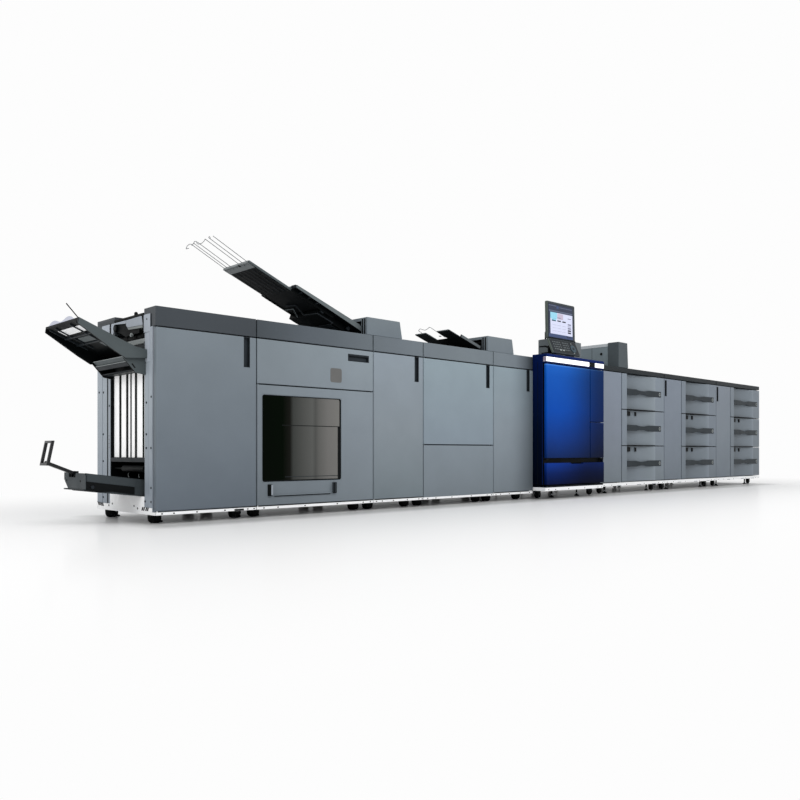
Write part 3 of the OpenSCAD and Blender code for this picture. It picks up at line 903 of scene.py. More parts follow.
    def lathe(
        self, profile: list[Flat], centre: Point, axis: Axis, finish: int = 0, steps: int = 28
    ) -> None:
        """Adds a turned shape.

        Args:
            profile: A closed outline of radius and place along the axis.
            centre: A point on the axis that the places count from.
            axis: The axis.
            finish: The number of its finish.
            steps: Number of sides.
        """
        middle = at(*centre)
        turn = axis.unit()
        side = axis.unit(1)
        self.add_loop([middle + side * r * MM + turn * along * MM for r, along in profile])
        bpy.ops.mesh.spin(steps=steps, angle=math.tau, center=middle, axis=turn)
        bpy.ops.mesh.select_all(action="SELECT")
        bpy.ops.mesh.remove_doubles(threshold=1e-5)
        self.settle(finish, 0)

    def close(
        self, pivot: Point | None = None, axis: Axis = Axis.X, lean: float = 0.0
    ) -> Object:
        """Ends the piece.

        Args:
            pivot: A point that the whole piece is leant about, if it leans.
            axis: The axis of the lean.
            lean: The lean in degrees.

        Returns:
            The finished piece.
        """
        bpy.ops.mesh.reveal(select=False)
        bpy.ops.object.mode_set(mode="OBJECT")
        if pivot is not None:
            centre = at(*pivot)
            turn = Matrix.Rotation(math.radians(lean), 4, axis.name)
            place = Matrix.Translation(centre)
            self.piece.data.transform(place @ turn @ Matrix.Translation(-centre))
        return finish_shape(self.piece, self.body)


def repeat(source: Object, name: str, move: Point, body: str) -> Object:
    """Copies a finished piece, with its own mesh.

    Args:
        source: The piece.
        name: The copy's name.
        move: How far it is moved, in mm.
        body: The CAD body that it rides on.

    Returns:
        The copy.
    """
    twin = source.copy()
    twin.data = source.data.copy()
    twin.name = name
    twin.data.name = name
    bpy.context.scene.collection.objects.link(twin)
    twin.data.transform(Matrix.Translation(Vector(move) * MM))
    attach(twin, body)
    return twin


def scatter(source: Object, name: str, moves: list[Point], body: str) -> Object:
    """Repeats a small piece at several places and joins the copies and itself.

    Args:
        source: The piece, which stays where it is as the first one.
        name: The name of the joined piece.
        moves: The other places, as moves from the first, in mm.
        body: The CAD body that it rides on.

    Returns:
        The joined piece.
    """
    twins = [repeat(source, f"{name}_{i}", move, body) for i, move in enumerate(moves)]
    make_active(source)
    for twin in twins:
        twin.select_set(True)
    bpy.ops.object.join()
    source.name = name
    source.data.name = name
    return source


def front_coat(
    name: str,
    *codes: str,
    levels: tuple[float, float, float] = FRONT_LEVELS,
    roughness: float = 0.42,
    **painted_shade: float,
) -> PaintedSteel:
    """The coat of a unit's front.

    Args:
        name: The material's name.
        codes: Its colours at the foot, in the middle and at the top, which paint light and shade.
        levels: The heights of these, in mm.
        roughness: The mean roughness.
        painted_shade: How it darkens along the line, a painted shade.

    Returns:
        The finish.
    """
    # The ramp of colours up the front is painted light and shade.
    stops = tuple(zip(levels, codes))
    return PaintedSteel(name, Slot.PANEL, codes[1], roughness, stops=stops, **painted_shade)


# The posts' coat lightens towards the top: painted light.
POST = PaintedSteel(
    "post_powder_coat", Slot.STEEL, "#98a1aa", 0.42,
    stops=((60, "#8a939d"), (600, "#9aa3ab"), (1010, "#a7afb8"))
)
WHITE = PaintedSteel("white_powder_coat", Slot.WHITE, "#f7f8f9", 0.38)
CASE = PaintedSteel("case_powder_coat", Slot.STEEL, "#8d949b", 0.45)
COVER = PaintedSteel("cover_satin_coat", Slot.COVER, "#363b3f", 0.36, 0.1)
BLACK = MouldedPlastic("black_abs", Slot.BLACK, "#080b0c", 0.48, 0.04)
DARK = MouldedPlastic("dark_grey_abs", Slot.COVER, "#1c2125", 0.42, 0.08)
TRAY_GREY = MouldedPlastic("tray_grey_abs", Slot.COVER, "#454c4e", 0.45)
CHUTE_GREY = MouldedPlastic("chute_grey_abs", Slot.COVER, "#343a3d", 0.45, 0.1)
MID_GREY = MouldedPlastic("mid_grey_abs", Slot.COVER, "#868c8c", 0.45)
# The lip's faint glow is painted light: no lamp is behind it.
LILAC = LitPlastic("lilac_tinted_acrylic", Slot.LIGHT, "#b9bccb", 0.2, glow=0.05, cell=8.0)
BRIGHT = PlatedSteel("zinc_plated_steel", Slot.BRIGHT, "#9b9fa2", 0.3)
DULL_WIRE = PlatedSteel("dull_nickel_wire", Slot.BRIGHT, "#6f7477", 0.38)
RUBBER = MouldedPlastic("moulded_rubber", Slot.RUBBER, "#0a0b0c", 0.6, 0.05, pore=2.5, edge_lightening=0.1)
LINER = PaintedSteel("liner_warm_coat", Slot.LINER, "#6d6a66", 0.5)
CUP_BACK = MouldedPlastic("slot_back_abs", Slot.COVER, "#262c31", 0.4, 0.08)


def slot_cup(bench: Bench, low: Point, high: Point) -> None:
    """Lines a pocket for the fingers with a moulded cup.

    Args:
        bench: The piece that the cup is added to; its second finish is the cup's back.
        low: The pocket's lowest corner; its front is open.
        high: Its highest corner.
    """
    (x0, y0, z0), (x1, y1, z1) = low, high
    left, right, back = x0 + 2.3, x1 - 4.5, y1 - 1.9
    bench.box((x0 + 0.3, y1 - 1.8, z0 + 0.3), (x1 - 0.3, y1 - 0.2, z1 - 0.3), 0.2, 1)
    bench.box((x0 + 0.2, y0 + 0.4, z0 + 0.2), (x0 + 2.2, back, z1 - 0.2), 0.5)
    bench.box((x1 - 4.4, y0 + 0.2, z0 + 0.2), (x1 - 0.2, back, z1 - 0.2), 0.5)
    bench.box((left, y0 + 0.4, z0 + 0.2), (right, back, z0 + 2.4), 0.5)
    bench.box((left, y0 + 0.2, z1 - 4.4), (right, back, z1 - 0.2), 0.5)


def pan_screw(name: str, place: Point, axis: Axis, way: int) -> Object:
    """A pan-head screw with a cross recess.

    Args:
        name: The piece's name.
        place: The middle of its seat.
        axis: The direction that its head stands out in.
        way: 1 or -1 along that axis.

    Returns:
        The screw, riding on the line.
    """
    bench = Bench(name, "line", BLACK, DARK)
    profile = [(0.0, 0.0), (5.8, 0.0), (5.8, 0.5), (4.8, 1.3), (2.0, 1.6), (0.0, 1.6)]
    bench.lathe([(r, a * way) for r, a in profile], place, axis, 0, 12)
    for turn in (0, 1):
        low = [-3.2, -3.2, -3.2]
        high = [3.2, 3.2, 3.2]
        across = (axis.value + 1 + turn) % 3
        low[across], high[across] = -0.6, 0.6
        low[axis.value], high[axis.value] = sorted((1.4 * way, 1.75 * way))
        bench.box(
            tuple(p + d for p, d in zip(place, low)), tuple(p + d for p, d in zip(place, high)), 0, 1
        )
    return bench.close()


@dataclass(frozen=True)
class Unit:
    """One unit of the line.

    Attributes:
        number: Its number from the left, from 0; the feeders come after the engine.
        left: Its left side, from the middle of the seam.
        right: Its right side.
    """

    number: int
    left: float
    right: float

    @property
    def case_left(self) -> float:
        """The left side of its case."""
        return self.left + (SEAM if self.number else 0.0)

    @property
    def is_finisher(self) -> bool:
        """Whether it is one of the finishing units."""
        return self.number < ENGINE_NUMBER

    @property
    def is_engine(self) -> bool:
        """Whether it is the print engine."""
        return self.number == ENGINE_NUMBER

    @property
    def heights(self) -> Range:
        """The bottom and the top of its case."""
        if self.is_finisher:
            return (58.0, 947.0)
        return (88.0, 1042.0 if self.is_engine else 1015.0)


UNITS = tuple(
    Unit(number, left, right - SEAM)
    for number, (left, right) in enumerate(zip(UNIT_LEFTS, UNIT_LEFTS[1:] + (LINE_END,)))
)


@dataclass
class BookletUnit:
    """The booklet unit at the left end: case, cover, door, slats and end plates."""

    slat_x: float = 20.0
    slat_z: tuple[float, float] = (318.0, 740.0)
    slats: tuple[Flat, ...] = ((114, 157), (175, 236), (259, 296), (310, 334), (358, 414), (438, 499))
    slots: tuple[Flat, ...] = ((612, 64), (576, 62), (72, 62), (112, 62))
    screws: tuple[Flat, ...] = (
        (94, 431), (94, 365), (44, 365), (44, 174), (44, 107), (107, 107), (42, 610), (93, 584),
        (587, 439), (587, 298), (587, 108), (638, 662), (585, 659), (512, 586), (65, 974),
    )

    def build(self) -> None:
        """Makes the whole unit."""
        self.make_case()
        self.make_door()
        self.make_slats()
        self.make_posts()
        self.make_head()
        self.make_end_plate()
        self.make_exit()

    def make_case(self) -> None:
        """Makes the case, black inside its bay, and the dark cover with its lid."""
        shell = soften("booklet_case", POST, BLACK, edge=CASE_EDGE, back_inset=CASE_RIM)
        paint(shell, 1, (0.2, 110, 125), (340, 500.5, 300))
        paint(shell, 1, (-1, 499.5, 120), (330, 500.5, 950))
        paint(shell, 1, (0.5, 113.5, 120), (330, 114.5, 950))
        paint(shell, 1, (10, 113, 290), (30, 501, 320))
        paint(shell, 1, (10, 113, 730), (80, 501, 960))
        finish = PaintedSteel("booklet_cover_coat", Slot.COVER, "#3e4348", 0.34)
        soften("booklet_cover", finish, edge=1.5, steps=2)
        bench = Bench("booklet_lid", "line", finish, BLACK)
        bench.box((90, 20, UNIT_TOP), (540, 640, UNIT_TOP + 2.5), 1.2)
        bench.box((120, 560, UNIT_TOP + 2.4), (300, 600, UNIT_TOP + 3.2), 0.2, 1)
        bench.close()

    def make_door(self) -> None:
        """Makes the front door with its slot handle."""
        # Lighter towards the top: painted light.
        finish = front_coat("booklet_door_coat", "#616a73", "#6a737b", "#727b82")
        soften("booklet_door", finish, edge=DOOR_EDGE, steps=3)
        bench = Bench("booklet_door_slot", "booklet_door", DARK, CUP_BACK)
        slot_cup(bench, (486.75, 0, 784.5), (486.75 + CUP_WIDTH, CUP_DEPTH, 940.5))
        bench.close()

    def make_slats(self) -> None:
        """Makes the white slats between the dark bars, their white glowing as painted light, each with grey
        strips at one side as painted shade.
        """
        soften("slat_panel", WHITE, edge=0.4)
        soften("slat_bars", BLACK, edge=0.8)
        # The slats' glow is painted light; no lamp is behind them.
        white = LitPlastic("white_slat_coat", Slot.WHITE, "#ffffff", 0.35, glow=0.16, cell=30.0)
        bench = Bench("slat_strips", "line", white, MID_GREY, WHITE, BLACK)
        low, high = self.slat_z[0] + 1, self.slat_z[1] - 1
        for index, (y0, y1) in enumerate(self.slats):
            bench.box((self.slat_x - 2.4, y0 + 0.4, low), (self.slat_x, y1 - 8, high), 1.2)
            # Plain white, then grey, towards one side of each slat: painted shadow of the bar.
            bench.box((self.slat_x - 2.2, y1 - 8, low), (self.slat_x, y1 - 4.4, high), 0.3, 2)
            bench.box((self.slat_x - 1.8, y1 - 4.4, low), (self.slat_x, y1 - 0.4, high), 0.3, 1)
            if index:
                bench.box((self.slat_x - 1.2, self.slats[index - 1][1], low), (self.slat_x, y0, high), 0.2, 3)
        bench.close()

    def make_posts(self) -> None:
        """Makes the folded strips of the two posts, with their seams and screws."""
        bench = Bench("end_posts", "line", POST, BLACK, BRIGHT, DARK)
        for out, y0, y1, z0, z1, soft, finish in (
            (1.8, 35, 70, 79, 945, 0.8, 0), (0.7, 73, 112.5, 131, 770, 0.3, 0),
            (1.4, 502, 526, 131, 945, 0.6, 0), (0.4, 527, 541, 79, 945, 0.0, 1),
            (1.2, 542, 596, 79, 945, 0.5, 0), (2.4, 597.5, 604.5, 79, 945, 1.1, 0),
            (1.2, 606, 662, 79, 945, 0.5, 0),
        ):
            bench.box((-out, y0, z0), (0, y1, z1), soft, finish)
        for z in (370, 390, 410, 430):
            bench.rod((-1.4, 514, z), (-2.6, 514, z), 5, 0.4, 2, 16)
            bench.rod((-2.5, 514, z), (-2.8, 514, z), 2.4, 0, 1, 12)
        bench.box((-0.6, 114, 296), (16.8, 500, 317), 1.5, 3)
        bench.close()
        first, *rest = self.screws
        screw = pan_screw("end_screw", (-1.6, *first), Axis.X, -1)
        moves = [(0.0, y - first[0], z - first[1]) for y, z in rest]
        scatter(screw, "end_screws", moves, "line")

    def make_head(self) -> None:
        """Makes the plates, the guard and the roller over the exit."""
        light = PaintedSteel("head_plate_coat", Slot.STEEL, "#a9b1bb", 0.4)
        bench = Bench("head_plates", "line", light, BLACK, COVER, MID_GREY)
        bench.plate(rounded(507, 950, 600, 1008, 4), Axis.X, -2.6, -0.6, 0.5)
        bench.box((-0.9, 490, 946), (0, 506, 1012), 0.2, 1)
        outline = [
            (316, 1007), (487, 1007), (487, 960), (480, 953),
            (462, 953), (456, 982), (444, 1000), (316, 990),
        ]
        bench.plate(outline, Axis.X, -2.6, -0.6, 0.5)
        bench.plate([(143, 1008), (312, 1006), (312, 980), (296, 968), (131, 963)], Axis.X, -3.0, -1.0, 0.5)
        bench.plate([(133, 962), (300, 967), (288, 956), (133, 950)], Axis.X, -1.6, -0.6, 0.3, 3)
        bench.box((-0.9, 120, 946), (0, 137, 1010), 0.2, 1)
        bench.box((-3.4, 51, 923), (-1.4, 117, 1009), 0.9)
        bench.rod((-3.3, 84, 985), (-3.9, 84, 985), 5, 0.2, 1, 16)
        bench.plate(rounded(57, 780, 106, 920, 14), Axis.X, -3.4, -1.4, 0.5)
        bench.box((-1.6, 43, 774), (-0.6, 52, 1008), 0.1, 1)
        bench.box((-1.0, 129, 1010), (20, 455, 1022), 1.5, 1)
        bench.box((-0.4, 455, 1010), (70, 640, 1030), 1.5, 2)
        bench.rod((6, 219, 1020), (6, 219, 1034), 9, 1.5, 1)
        bench.rod((6, 219, 1033), (6, 219, 1037), 6, 1.0, 1)
        bench.box((2, 462, 1028), (18, 480, 1036), 1.0, 0)
        bench.close()
        bench = Bench("head_roller", "line", BLACK, MID_GREY, DARK)
        bench.rod((-7, 436, 980), (18, 436, 980), 19, 2, 0, 28)
        bench.rod((-7.6, 436, 980), (-6.9, 436, 980), 7, 0.2, 2, 18)
        bench.plate(
            [(430, 962), (436, 999), (300, 985), (180, 952), (180, 930), (330, 925)], Axis.X, 4, 16, 1.5
        )
        bench.rod((-4, 259, 927), (8, 259, 927), 10, 1.5, 1, 24)
        bench.box((-3, 109, 872), (9, 330, 897), 2.5, 1)
        bench.rod((-3.4, 265, 874), (-2.8, 265, 874), 6, 0, 0, 16)
        bench.rod((-3.4, 112, 876), (-2.8, 112, 876), 5, 0, 0, 16)
        bench.box((0, 109, 850), (6, 420, 869), 1.0, 2)
        bench.close()

    def make_end_plate(self) -> None:
        """Makes the white base plate with its leaning slots and dots."""
        soften("end_plate", WHITE, edge=0.8)
        bench = Bench("end_plate_slots", "line", BLACK, WHITE)
        for y, z in self.slots:
            lean = 9 if y > 300 else -9
            for near in (y, y + 17):
                outline = [(near, z), (near + 13, z), (near + 13 + lean, z + 17), (near + lean, z + 17)]
                bench.plate(outline, Axis.X, -3.6, -3.0, 0)
        for y, z in ((514, 69), (472, 80), (222, 80), (183, 70)):
            bench.rod((-3.6, y, z), (-3.0, y, z), 5.5, 0, 0, 14)
        bench.plate([(116, 84), (498, 84), (498, 128), (116, 128)], Axis.X, -4.2, -3.0, 0.5, 1)
        bench.box((-2, 655, 49), (0, 664, 82), 1.0)
        bench.close()

    def make_exit(self) -> None:
        """Makes the exit unit with its roller."""
        shell = soften("exit_unit", MID_GREY, BLACK, edge=1.0)
        paint(shell, 1, (10, 100, 738), (60.2, 510, 802))
        paint(shell, 1, (10, 100, 880), (66, 510, 946))
        paint(shell, 1, (10, 100, 1003), (61, 460, 1025))
        bench = Bench("exit_rollers", "line", RUBBER, BRIGHT)
        for y in (150, 230, 330, 410):
            bench.rod((40, y, 915), (40, y + 36, 915), 26.5, 2, 0, 28)
        bench.close()


@dataclass
class UpperTray:
    """The tray that the upper exit drops its sheets on, with the bracket under it."""

    cover_z: float = 947.0
    y0: float = 80.0
    lip_height: float = 24.0

    def build(self) -> None:
        """Makes the tray, its ribs, its lip and its bracket."""
        shell = soften("upper_tray", BLACK, TRAY_GREY, DARK, edge=1.6)
        paint(shell, 1, (-400, self.y0 - 1, 790), (10, self.y0 + 2.2, 960))
        paint(shell, 1, (-120, 99, 710), (10, 102.2, 802))
        paint(shell, 2, (-70, 109, 730), (10, 461, 745))
        self.make_ribs()
        self.make_lip()
        self.make_bracket()

    def under(self, x: float) -> float:
        """The height of the tray's underside at a place along the line."""
        share = (x + 334.0) / 202.0
        return self.cover_z - 3.0 - 84.0 * share

    def strip(self, x0: float, x1: float, thick: float) -> list[Flat]:
        """The side outline of a strip on the underside.

        Args:
            x0: Its outer end.
            x1: Its inner end.
            thick: How far it stands out.

        Returns:
            The outline's corners.
        """
        a, b = self.under(x0), self.under(x1)
        return [(x0, a), (x1, b), (x1, b - thick), (x0, a - thick)]

    def make_ribs(self) -> None:
        """Makes the relief on the tray's underside and its pale label plate."""
        bench = Bench("upper_tray_ribs", "line", DARK, WHITE, TRAY_GREY)
        for y in (122, 196, 372, 446):
            bench.plate(self.strip(-326, -140, 8), Axis.Y, y, y + 5, 0.6)
        for x in (-246, -186):
            bench.plate(self.strip(x, x + 6, 7), Axis.Y, 93, 477, 0.6)
        for x, y0, y1 in ((-228, 214, 352), (-170, 140, 240)):
            bench.plate(self.strip(x, x + 34, 4), Axis.Y, y0, y1, 1.0, 2)
        bench.plate(self.strip(-301, -261, 1.2), Axis.Y, 126, 410, 0.3, 1)
        bench.box((-334, self.y0 + 0.5, self.cover_z - 16), (-329, self.y0 + 11.5, self.cover_z + 8), 1.5)
        bench.close()

    def make_lip(self) -> None:
        """Makes the tinted lip with two humps on the tray's outer end."""
        y0, y1 = 120.0, 470.0
        steps = 28
        base = self.cover_z + 4
        wave = []
        for i in range(steps + 1):
            share = i / steps
            rise = self.lip_height * (0.4 + 0.6 * math.sin(share * math.tau) ** 2)
            wave.append((y0 + (y1 - y0) * share, base + rise * min(1.0, 6 * min(share, 1 - share) + 0.2)))
        bench = Bench("upper_tray_lip", "line", LILAC)
        bench.plate(wave + [(y1, base), (y0, base)], Axis.X, -330, -327.0, 0.4)
        bench.close()

    def make_bracket(self) -> None:
        """Makes the cross plates of the bracket, pale rods along their upper edges as painted highlights, and
        the slot in its near plate.
        """
        bench = Bench("tray_bracket", "line", TRAY_GREY, BLACK, DARK, MID_GREY)
        bench.plate([(-108, 800), (-96, 800), (-80, 780), (-92, 780)], Axis.Y, 112.2, 457.8, 1.0)
        bench.plate([(-94, 776), (-84, 776), (-70, 758), (-80, 758)], Axis.Y, 112.2, 457.8, 1.0, 2)
        # Pale rods along the plates' upper edges: painted highlights.
        for x, z in ((-108, 800), (-95, 777)):
            bench.rod((x, 112.4, z), (x, 457.6, z), 1.6, 0, 3, 10)
        bench.plate([(-74, 766), (-68, 769), (-52, 749), (-58, 746)], Axis.Y, 99.4, 100.2, 0, 1)
        bench.close()


@dataclass
class Conveyor:
    """The booklet conveyor that leans out of the opening, with its stop arm."""

    reach: float = 275.0
    y0: float = 140.0
    y1: float = 400.0
    wall: float = 12.0

    def build(self) -> None:
        """Makes the chute, the belts, the end bracket and the arm."""
        shell = soften("conveyor", BLACK, CHUTE_GREY, edge=1.4)
        paint(shell, 1, (-280, self.y0 - 1, 120), (255, self.y0 + 0.6, 250))
        self.make_belts()
        self.make_bracket()
        self.make_arm()

    def floor(self, x: float) -> float:
        """The height of the chute's floor at a place along the line."""
        return 228.0 - 78.0 * (x + self.reach + 20.0) / (self.reach + 225.0)

    def make_belts(self) -> None:
        """Makes the belts on the chute's floor and the rollers that drive them, with two pale arcs as painted
        glints.
        """
        bench = Bench("conveyor_belts", "line", RUBBER, BRIGHT, BLACK, MID_GREY)
        a, b = -self.reach + 6, 190.0
        for y in (176, 232, 288, 344):
            outline = [
                (a, self.floor(a)), (b, self.floor(b)), (b, self.floor(b) + 2.4), (a, self.floor(a) + 2.4)
            ]
            bench.plate(outline, Axis.Y, y, y + 22, 0.6)
        for x in (-self.reach + 10, -120, 30, 150):
            bench.rod(
                (x, self.y0 + self.wall, self.floor(x) + 4), (x, self.y1 - self.wall, self.floor(x) + 4),
                3.2, 0.3, 2
            )
        for x in (24, 72):
            bench.rod((x, 150, 262), (x, 390, 262), 17, 2, 2, 28)
            bench.rod((x, 118, 262), (x, 496, 262), 5, 0.4, 2)
        # Two pale curved wires: painted glints on the rollers.
        for y in (275, 394):
            bench.wire(
                [(50, y, 237), (50, y + 7, 233), (50, y + 8, 227), (50, y + 6, 221), (50, y, 217)], 1.8, 3
            )
        bench.close()

    def make_bracket(self) -> None:
        """Makes the folded bracket on the chute's outer end and the rail below it."""
        bench = Bench("conveyor_end", "line", CHUTE_GREY, BLACK, DARK, MID_GREY)
        outline = [
            (136, 172), (136, 236), (150, 247), (250, 247), (256, 226),
            (332, 226), (338, 247), (380, 247), (384, 206), (340, 168),
        ]
        bench.plate(outline, Axis.X, -self.reach - 3, -self.reach - 0.2, 0.8)
        bench.box((-self.reach - 8, 140, 166), (-self.reach + 30, 386, 172), 1.5, 2)
        for y in (196, 360):
            bench.rod((-self.reach - 4, y, 210), (-self.reach - 2.6, y, 210), 5, 0.2, 1)
        rail = [(-274, 208), (-40, 176), (-40, 140), (-150, 158), (-222, 157), (-274, 170)]
        bench.plate(rail, Axis.Y, self.y0 - 3, self.y0 - 0.2, 0.6, 1)
        bench.plate(
            [(-270, 245), (-34, 212), (-38, 177), (-271, 210)], Axis.Y, self.y0 - 4.5, self.y0 - 0.2, 1.0
        )
        bench.rod((-246, self.y0 - 4, 182), (-246, self.y0 - 10, 182), 8, 1.4, 2, 24)
        bench.close()

    def make_arm(self) -> None:
        """Makes the stop arm and the clamp knob at its root."""
        gloss = MouldedPlastic("gloss_black_abs", Slot.BLACK, "#101214", 0.28, 0.3, pore=6)
        soften("stop_arm", gloss, edge=2.2, steps=3)
        bench = Bench("arm_knob", "line", BLACK)
        bench.rod((-263, 316, 243), (-263, 330, 243), 10, 1.5, 0, 24)
        bench.rod((-263, 330, 243), (-263, 338, 243), 13, 2.0, 0, 10)
        bench.close()


@dataclass
class Stacker:
    """The stacker with the smoked window, its bay and its tall front."""

    x: float = 564.0
    width: float = 818.0
    window: tuple[float, float, float, float] = (597.0, 186.0, 1137.0, 651.0)
    corner: float = 12.0
    recess: tuple[float, float, float, float] = (1187.0, 872.0, 1347.0, 913.0)

    def build(self) -> None:
        """Makes the case, the bay and both front panels."""
        shell = soften("stacker_case", CASE, DARK, edge=CASE_EDGE, back_inset=CASE_RIM)
        # The case's front faces are dark: painted shade in the gaps round the fronts.
        paint(shell, 1, (500, -2, 0), (1400, 45, 2000))
        soften("stacker_liner", LINER, edge=0.6)
        soften("stacker_lift", DARK, edge=1.2)
        self.make_panel()
        self.make_door()
        self.make_window()
        self.make_rail()

    def panel_coat(self) -> PaintedSteel:
        """The coat of the unit's front, lighter at the top and darker towards the left end: painted light and
        shade.
        """
        ends = {"dim_from": self.x + self.width, "dim_to": self.x, "dim": 0.82}
        return front_coat("stacker_front_coat", "#747d84", "#7c858d", "#828c93", **ends)

    def make_panel(self) -> None:
        """Makes the fixed upper panel with its recessed handle and its plate with round corners."""
        soften("stacker_panel", self.panel_coat(), edge=DOOR_EDGE, steps=3)
        x0, z0, x1, z1 = self.recess
        bench = Bench("stacker_handle", "line", DARK, CUP_BACK)
        bench.box((x0 + 0.3, 15.2, z0 + 0.3), (x1 - 0.3, 16.8, z1 - 0.3), 0.2, 1)
        bench.plate(
            [(0.4, z1 - 10), (0.4, z1 - 0.4), (15, z1 - 0.4), (15, z1 - 16)], Axis.X, x0 + 0.4, x1 - 0.4, 0.4
        )
        bench.box((x1 - 6, 0.4, z0 + 0.4), (x1 - 0.4, 15, z1 - 11), 0.8)
        bench.box((x0 + 0.4, 0.4, z0 + 0.4), (x0 + 2.6, 15, z1 - 11), 0.5)
        bench.box((x0 + 2.8, 0.6, z0 + 0.4), (x1 - 6.2, 15, z0 + 3), 0.8, 1)
        bench.close()
        bench = Bench(
            "stacker_round_plate", "line", MouldedPlastic("round_plate_abs", Slot.PANEL, "#5d5d5c", 0.5)
        )
        bench.plate(rounded(1056, 742, 1138, 822, 12), Axis.Y, -0.9, 0.1, 0.4)
        bench.close()

    def make_door(self) -> None:
        """Makes the door and the gasket round its window."""
        soften("stacker_door", self.panel_coat(), edge=2.0, steps=3)
        x0, z0, x1, z1 = self.window
        inner = rounded(x0 + 2, z0 + 2, x1 - 2, z1 - 2, self.corner)
        outer = rounded(x0 + 0.2, z0 + 0.2, x1 - 0.2, z1 - 0.2, 0.6)
        bench = Bench("window_frame", "stacker_door", self.panel_coat())
        bench.ring(inner, outer, Axis.Y, 0.1, 3.9, 0.3)
        bench.close()
        inner = rounded(x0 + 5, z0 + 9, x1 - 12, z1 - 6, self.corner - 2)
        outer = rounded(x0 + 1.8, z0 + 1.8, x1 - 1.8, z1 - 1.8, self.corner)
        bench = Bench("window_gasket", "stacker_door", BLACK)
        bench.ring(inner, outer, Axis.Y, 2.4, 3.9, 0.3)
        bench.box((x1 - 25, 2.6, z0 + 10), (x1 - 12.2, 3.9, 488), 0.3)
        bench.close()

    def make_window(self) -> None:
        """Makes the smoked pane and the fine rule across it."""
        x0, _, x1, _ = self.window
        # The pane's colour, black at the left and pale brown-grey at the right: painted shade, light and
        # reflection of the bay.
        pane = SmokedAcrylic(
            "smoked_acrylic", Slot.GLASS, "#000400", 0.08, 0.01, x_dark=x0, x_painted_light=x1, painted_light_color="#747370",
            clear=0.04
        )
        soften("stacker_window", pane, edge=0.5)
        bench = Bench("window_rule", "stacker_door", BLACK, DARK)
        bench.box((x0 + 130, 3.5, 488), (x1 - 12, 3.95, 492), 0)
        bench.box((x0 + 150, 3.5, 210), (x1 - 26, 3.95, 213), 0, 1)
        bench.close()

    def make_rail(self) -> None:
        """Makes the plate under the window and its two posts, with a painted highlight on the left post and a
        painted shadow under the plate.
        """
        low, high = span("stacker_rail")
        x0, x1 = low[0], high[0]
        shell = soften("stacker_rail", self.panel_coat(), BLACK, edge=0.6)
        paint(shell, 1, (x1 - 44, low[1] - 1, low[2] - 1), (x1 + 1, high[1] + 1, high[2] + 1))
        paint(shell, 1, (x0 - 1, low[1] - 1, low[2] - 1), (x0 + 42, high[1] + 1, high[2] + 1))
        # A pale stripe on the left post, in this coat: painted highlight.
        light = PaintedSteel("rail_post_coat", Slot.BRIGHT, "#9097a0", 0.35)
        bench = Bench("rail_fittings", "stacker_door", light, BLACK, CUP_BACK)
        front = low[1]
        bench.box((x0 + 14, front - 1.2, low[2] + 4), (x0 + 25, front + 0.4, high[2] - 2), 1.6)
        # A black strip under the plate: painted shadow.
        bench.box((x0 + 44, -5.2, 108.5), (x1 - 46, -0.2, 112.8), 0.2, 1)
        for x in (x1 - 38, x1 - 22):
            bench.box((x, front - 0.8, low[2] + 3), (x + 7, front + 0.4, high[2] - 3), 0.3, 2)
        bench.close()


@dataclass
class PlainUnit:
    """A finishing unit with one front door: the inserter, the folder or the relay unit.

    Attributes:
        name: The unit's short name, which its door's node starts with.
        right: The unit's right side.
        coat: The coat of its front.
        slot_gap: How far its slot is from the door's right side.
        slot_height: The slot's height.
        slot_top: Height of the slot's top above the floor.
    """

    name: str
    right: float
    coat: PaintedSteel
    slot_gap: float = 38.0
    slot_height: float = 156.0
    slot_top: float = 940.5

    def build(self) -> None:
        """Makes the door and its slot handle."""
        node_name = f"{self.name}_door"
        soften(node_name, self.coat, edge=DOOR_EDGE, steps=3)
        right = self.right - self.slot_gap
        bench = Bench(f"{self.name}_door_slot", node_name, DARK, CUP_BACK)
        low = (right - CUP_WIDTH, 0.0, self.slot_top - self.slot_height)
        slot_cup(bench, low, (right, CUP_DEPTH, self.slot_top))
        bench.close()


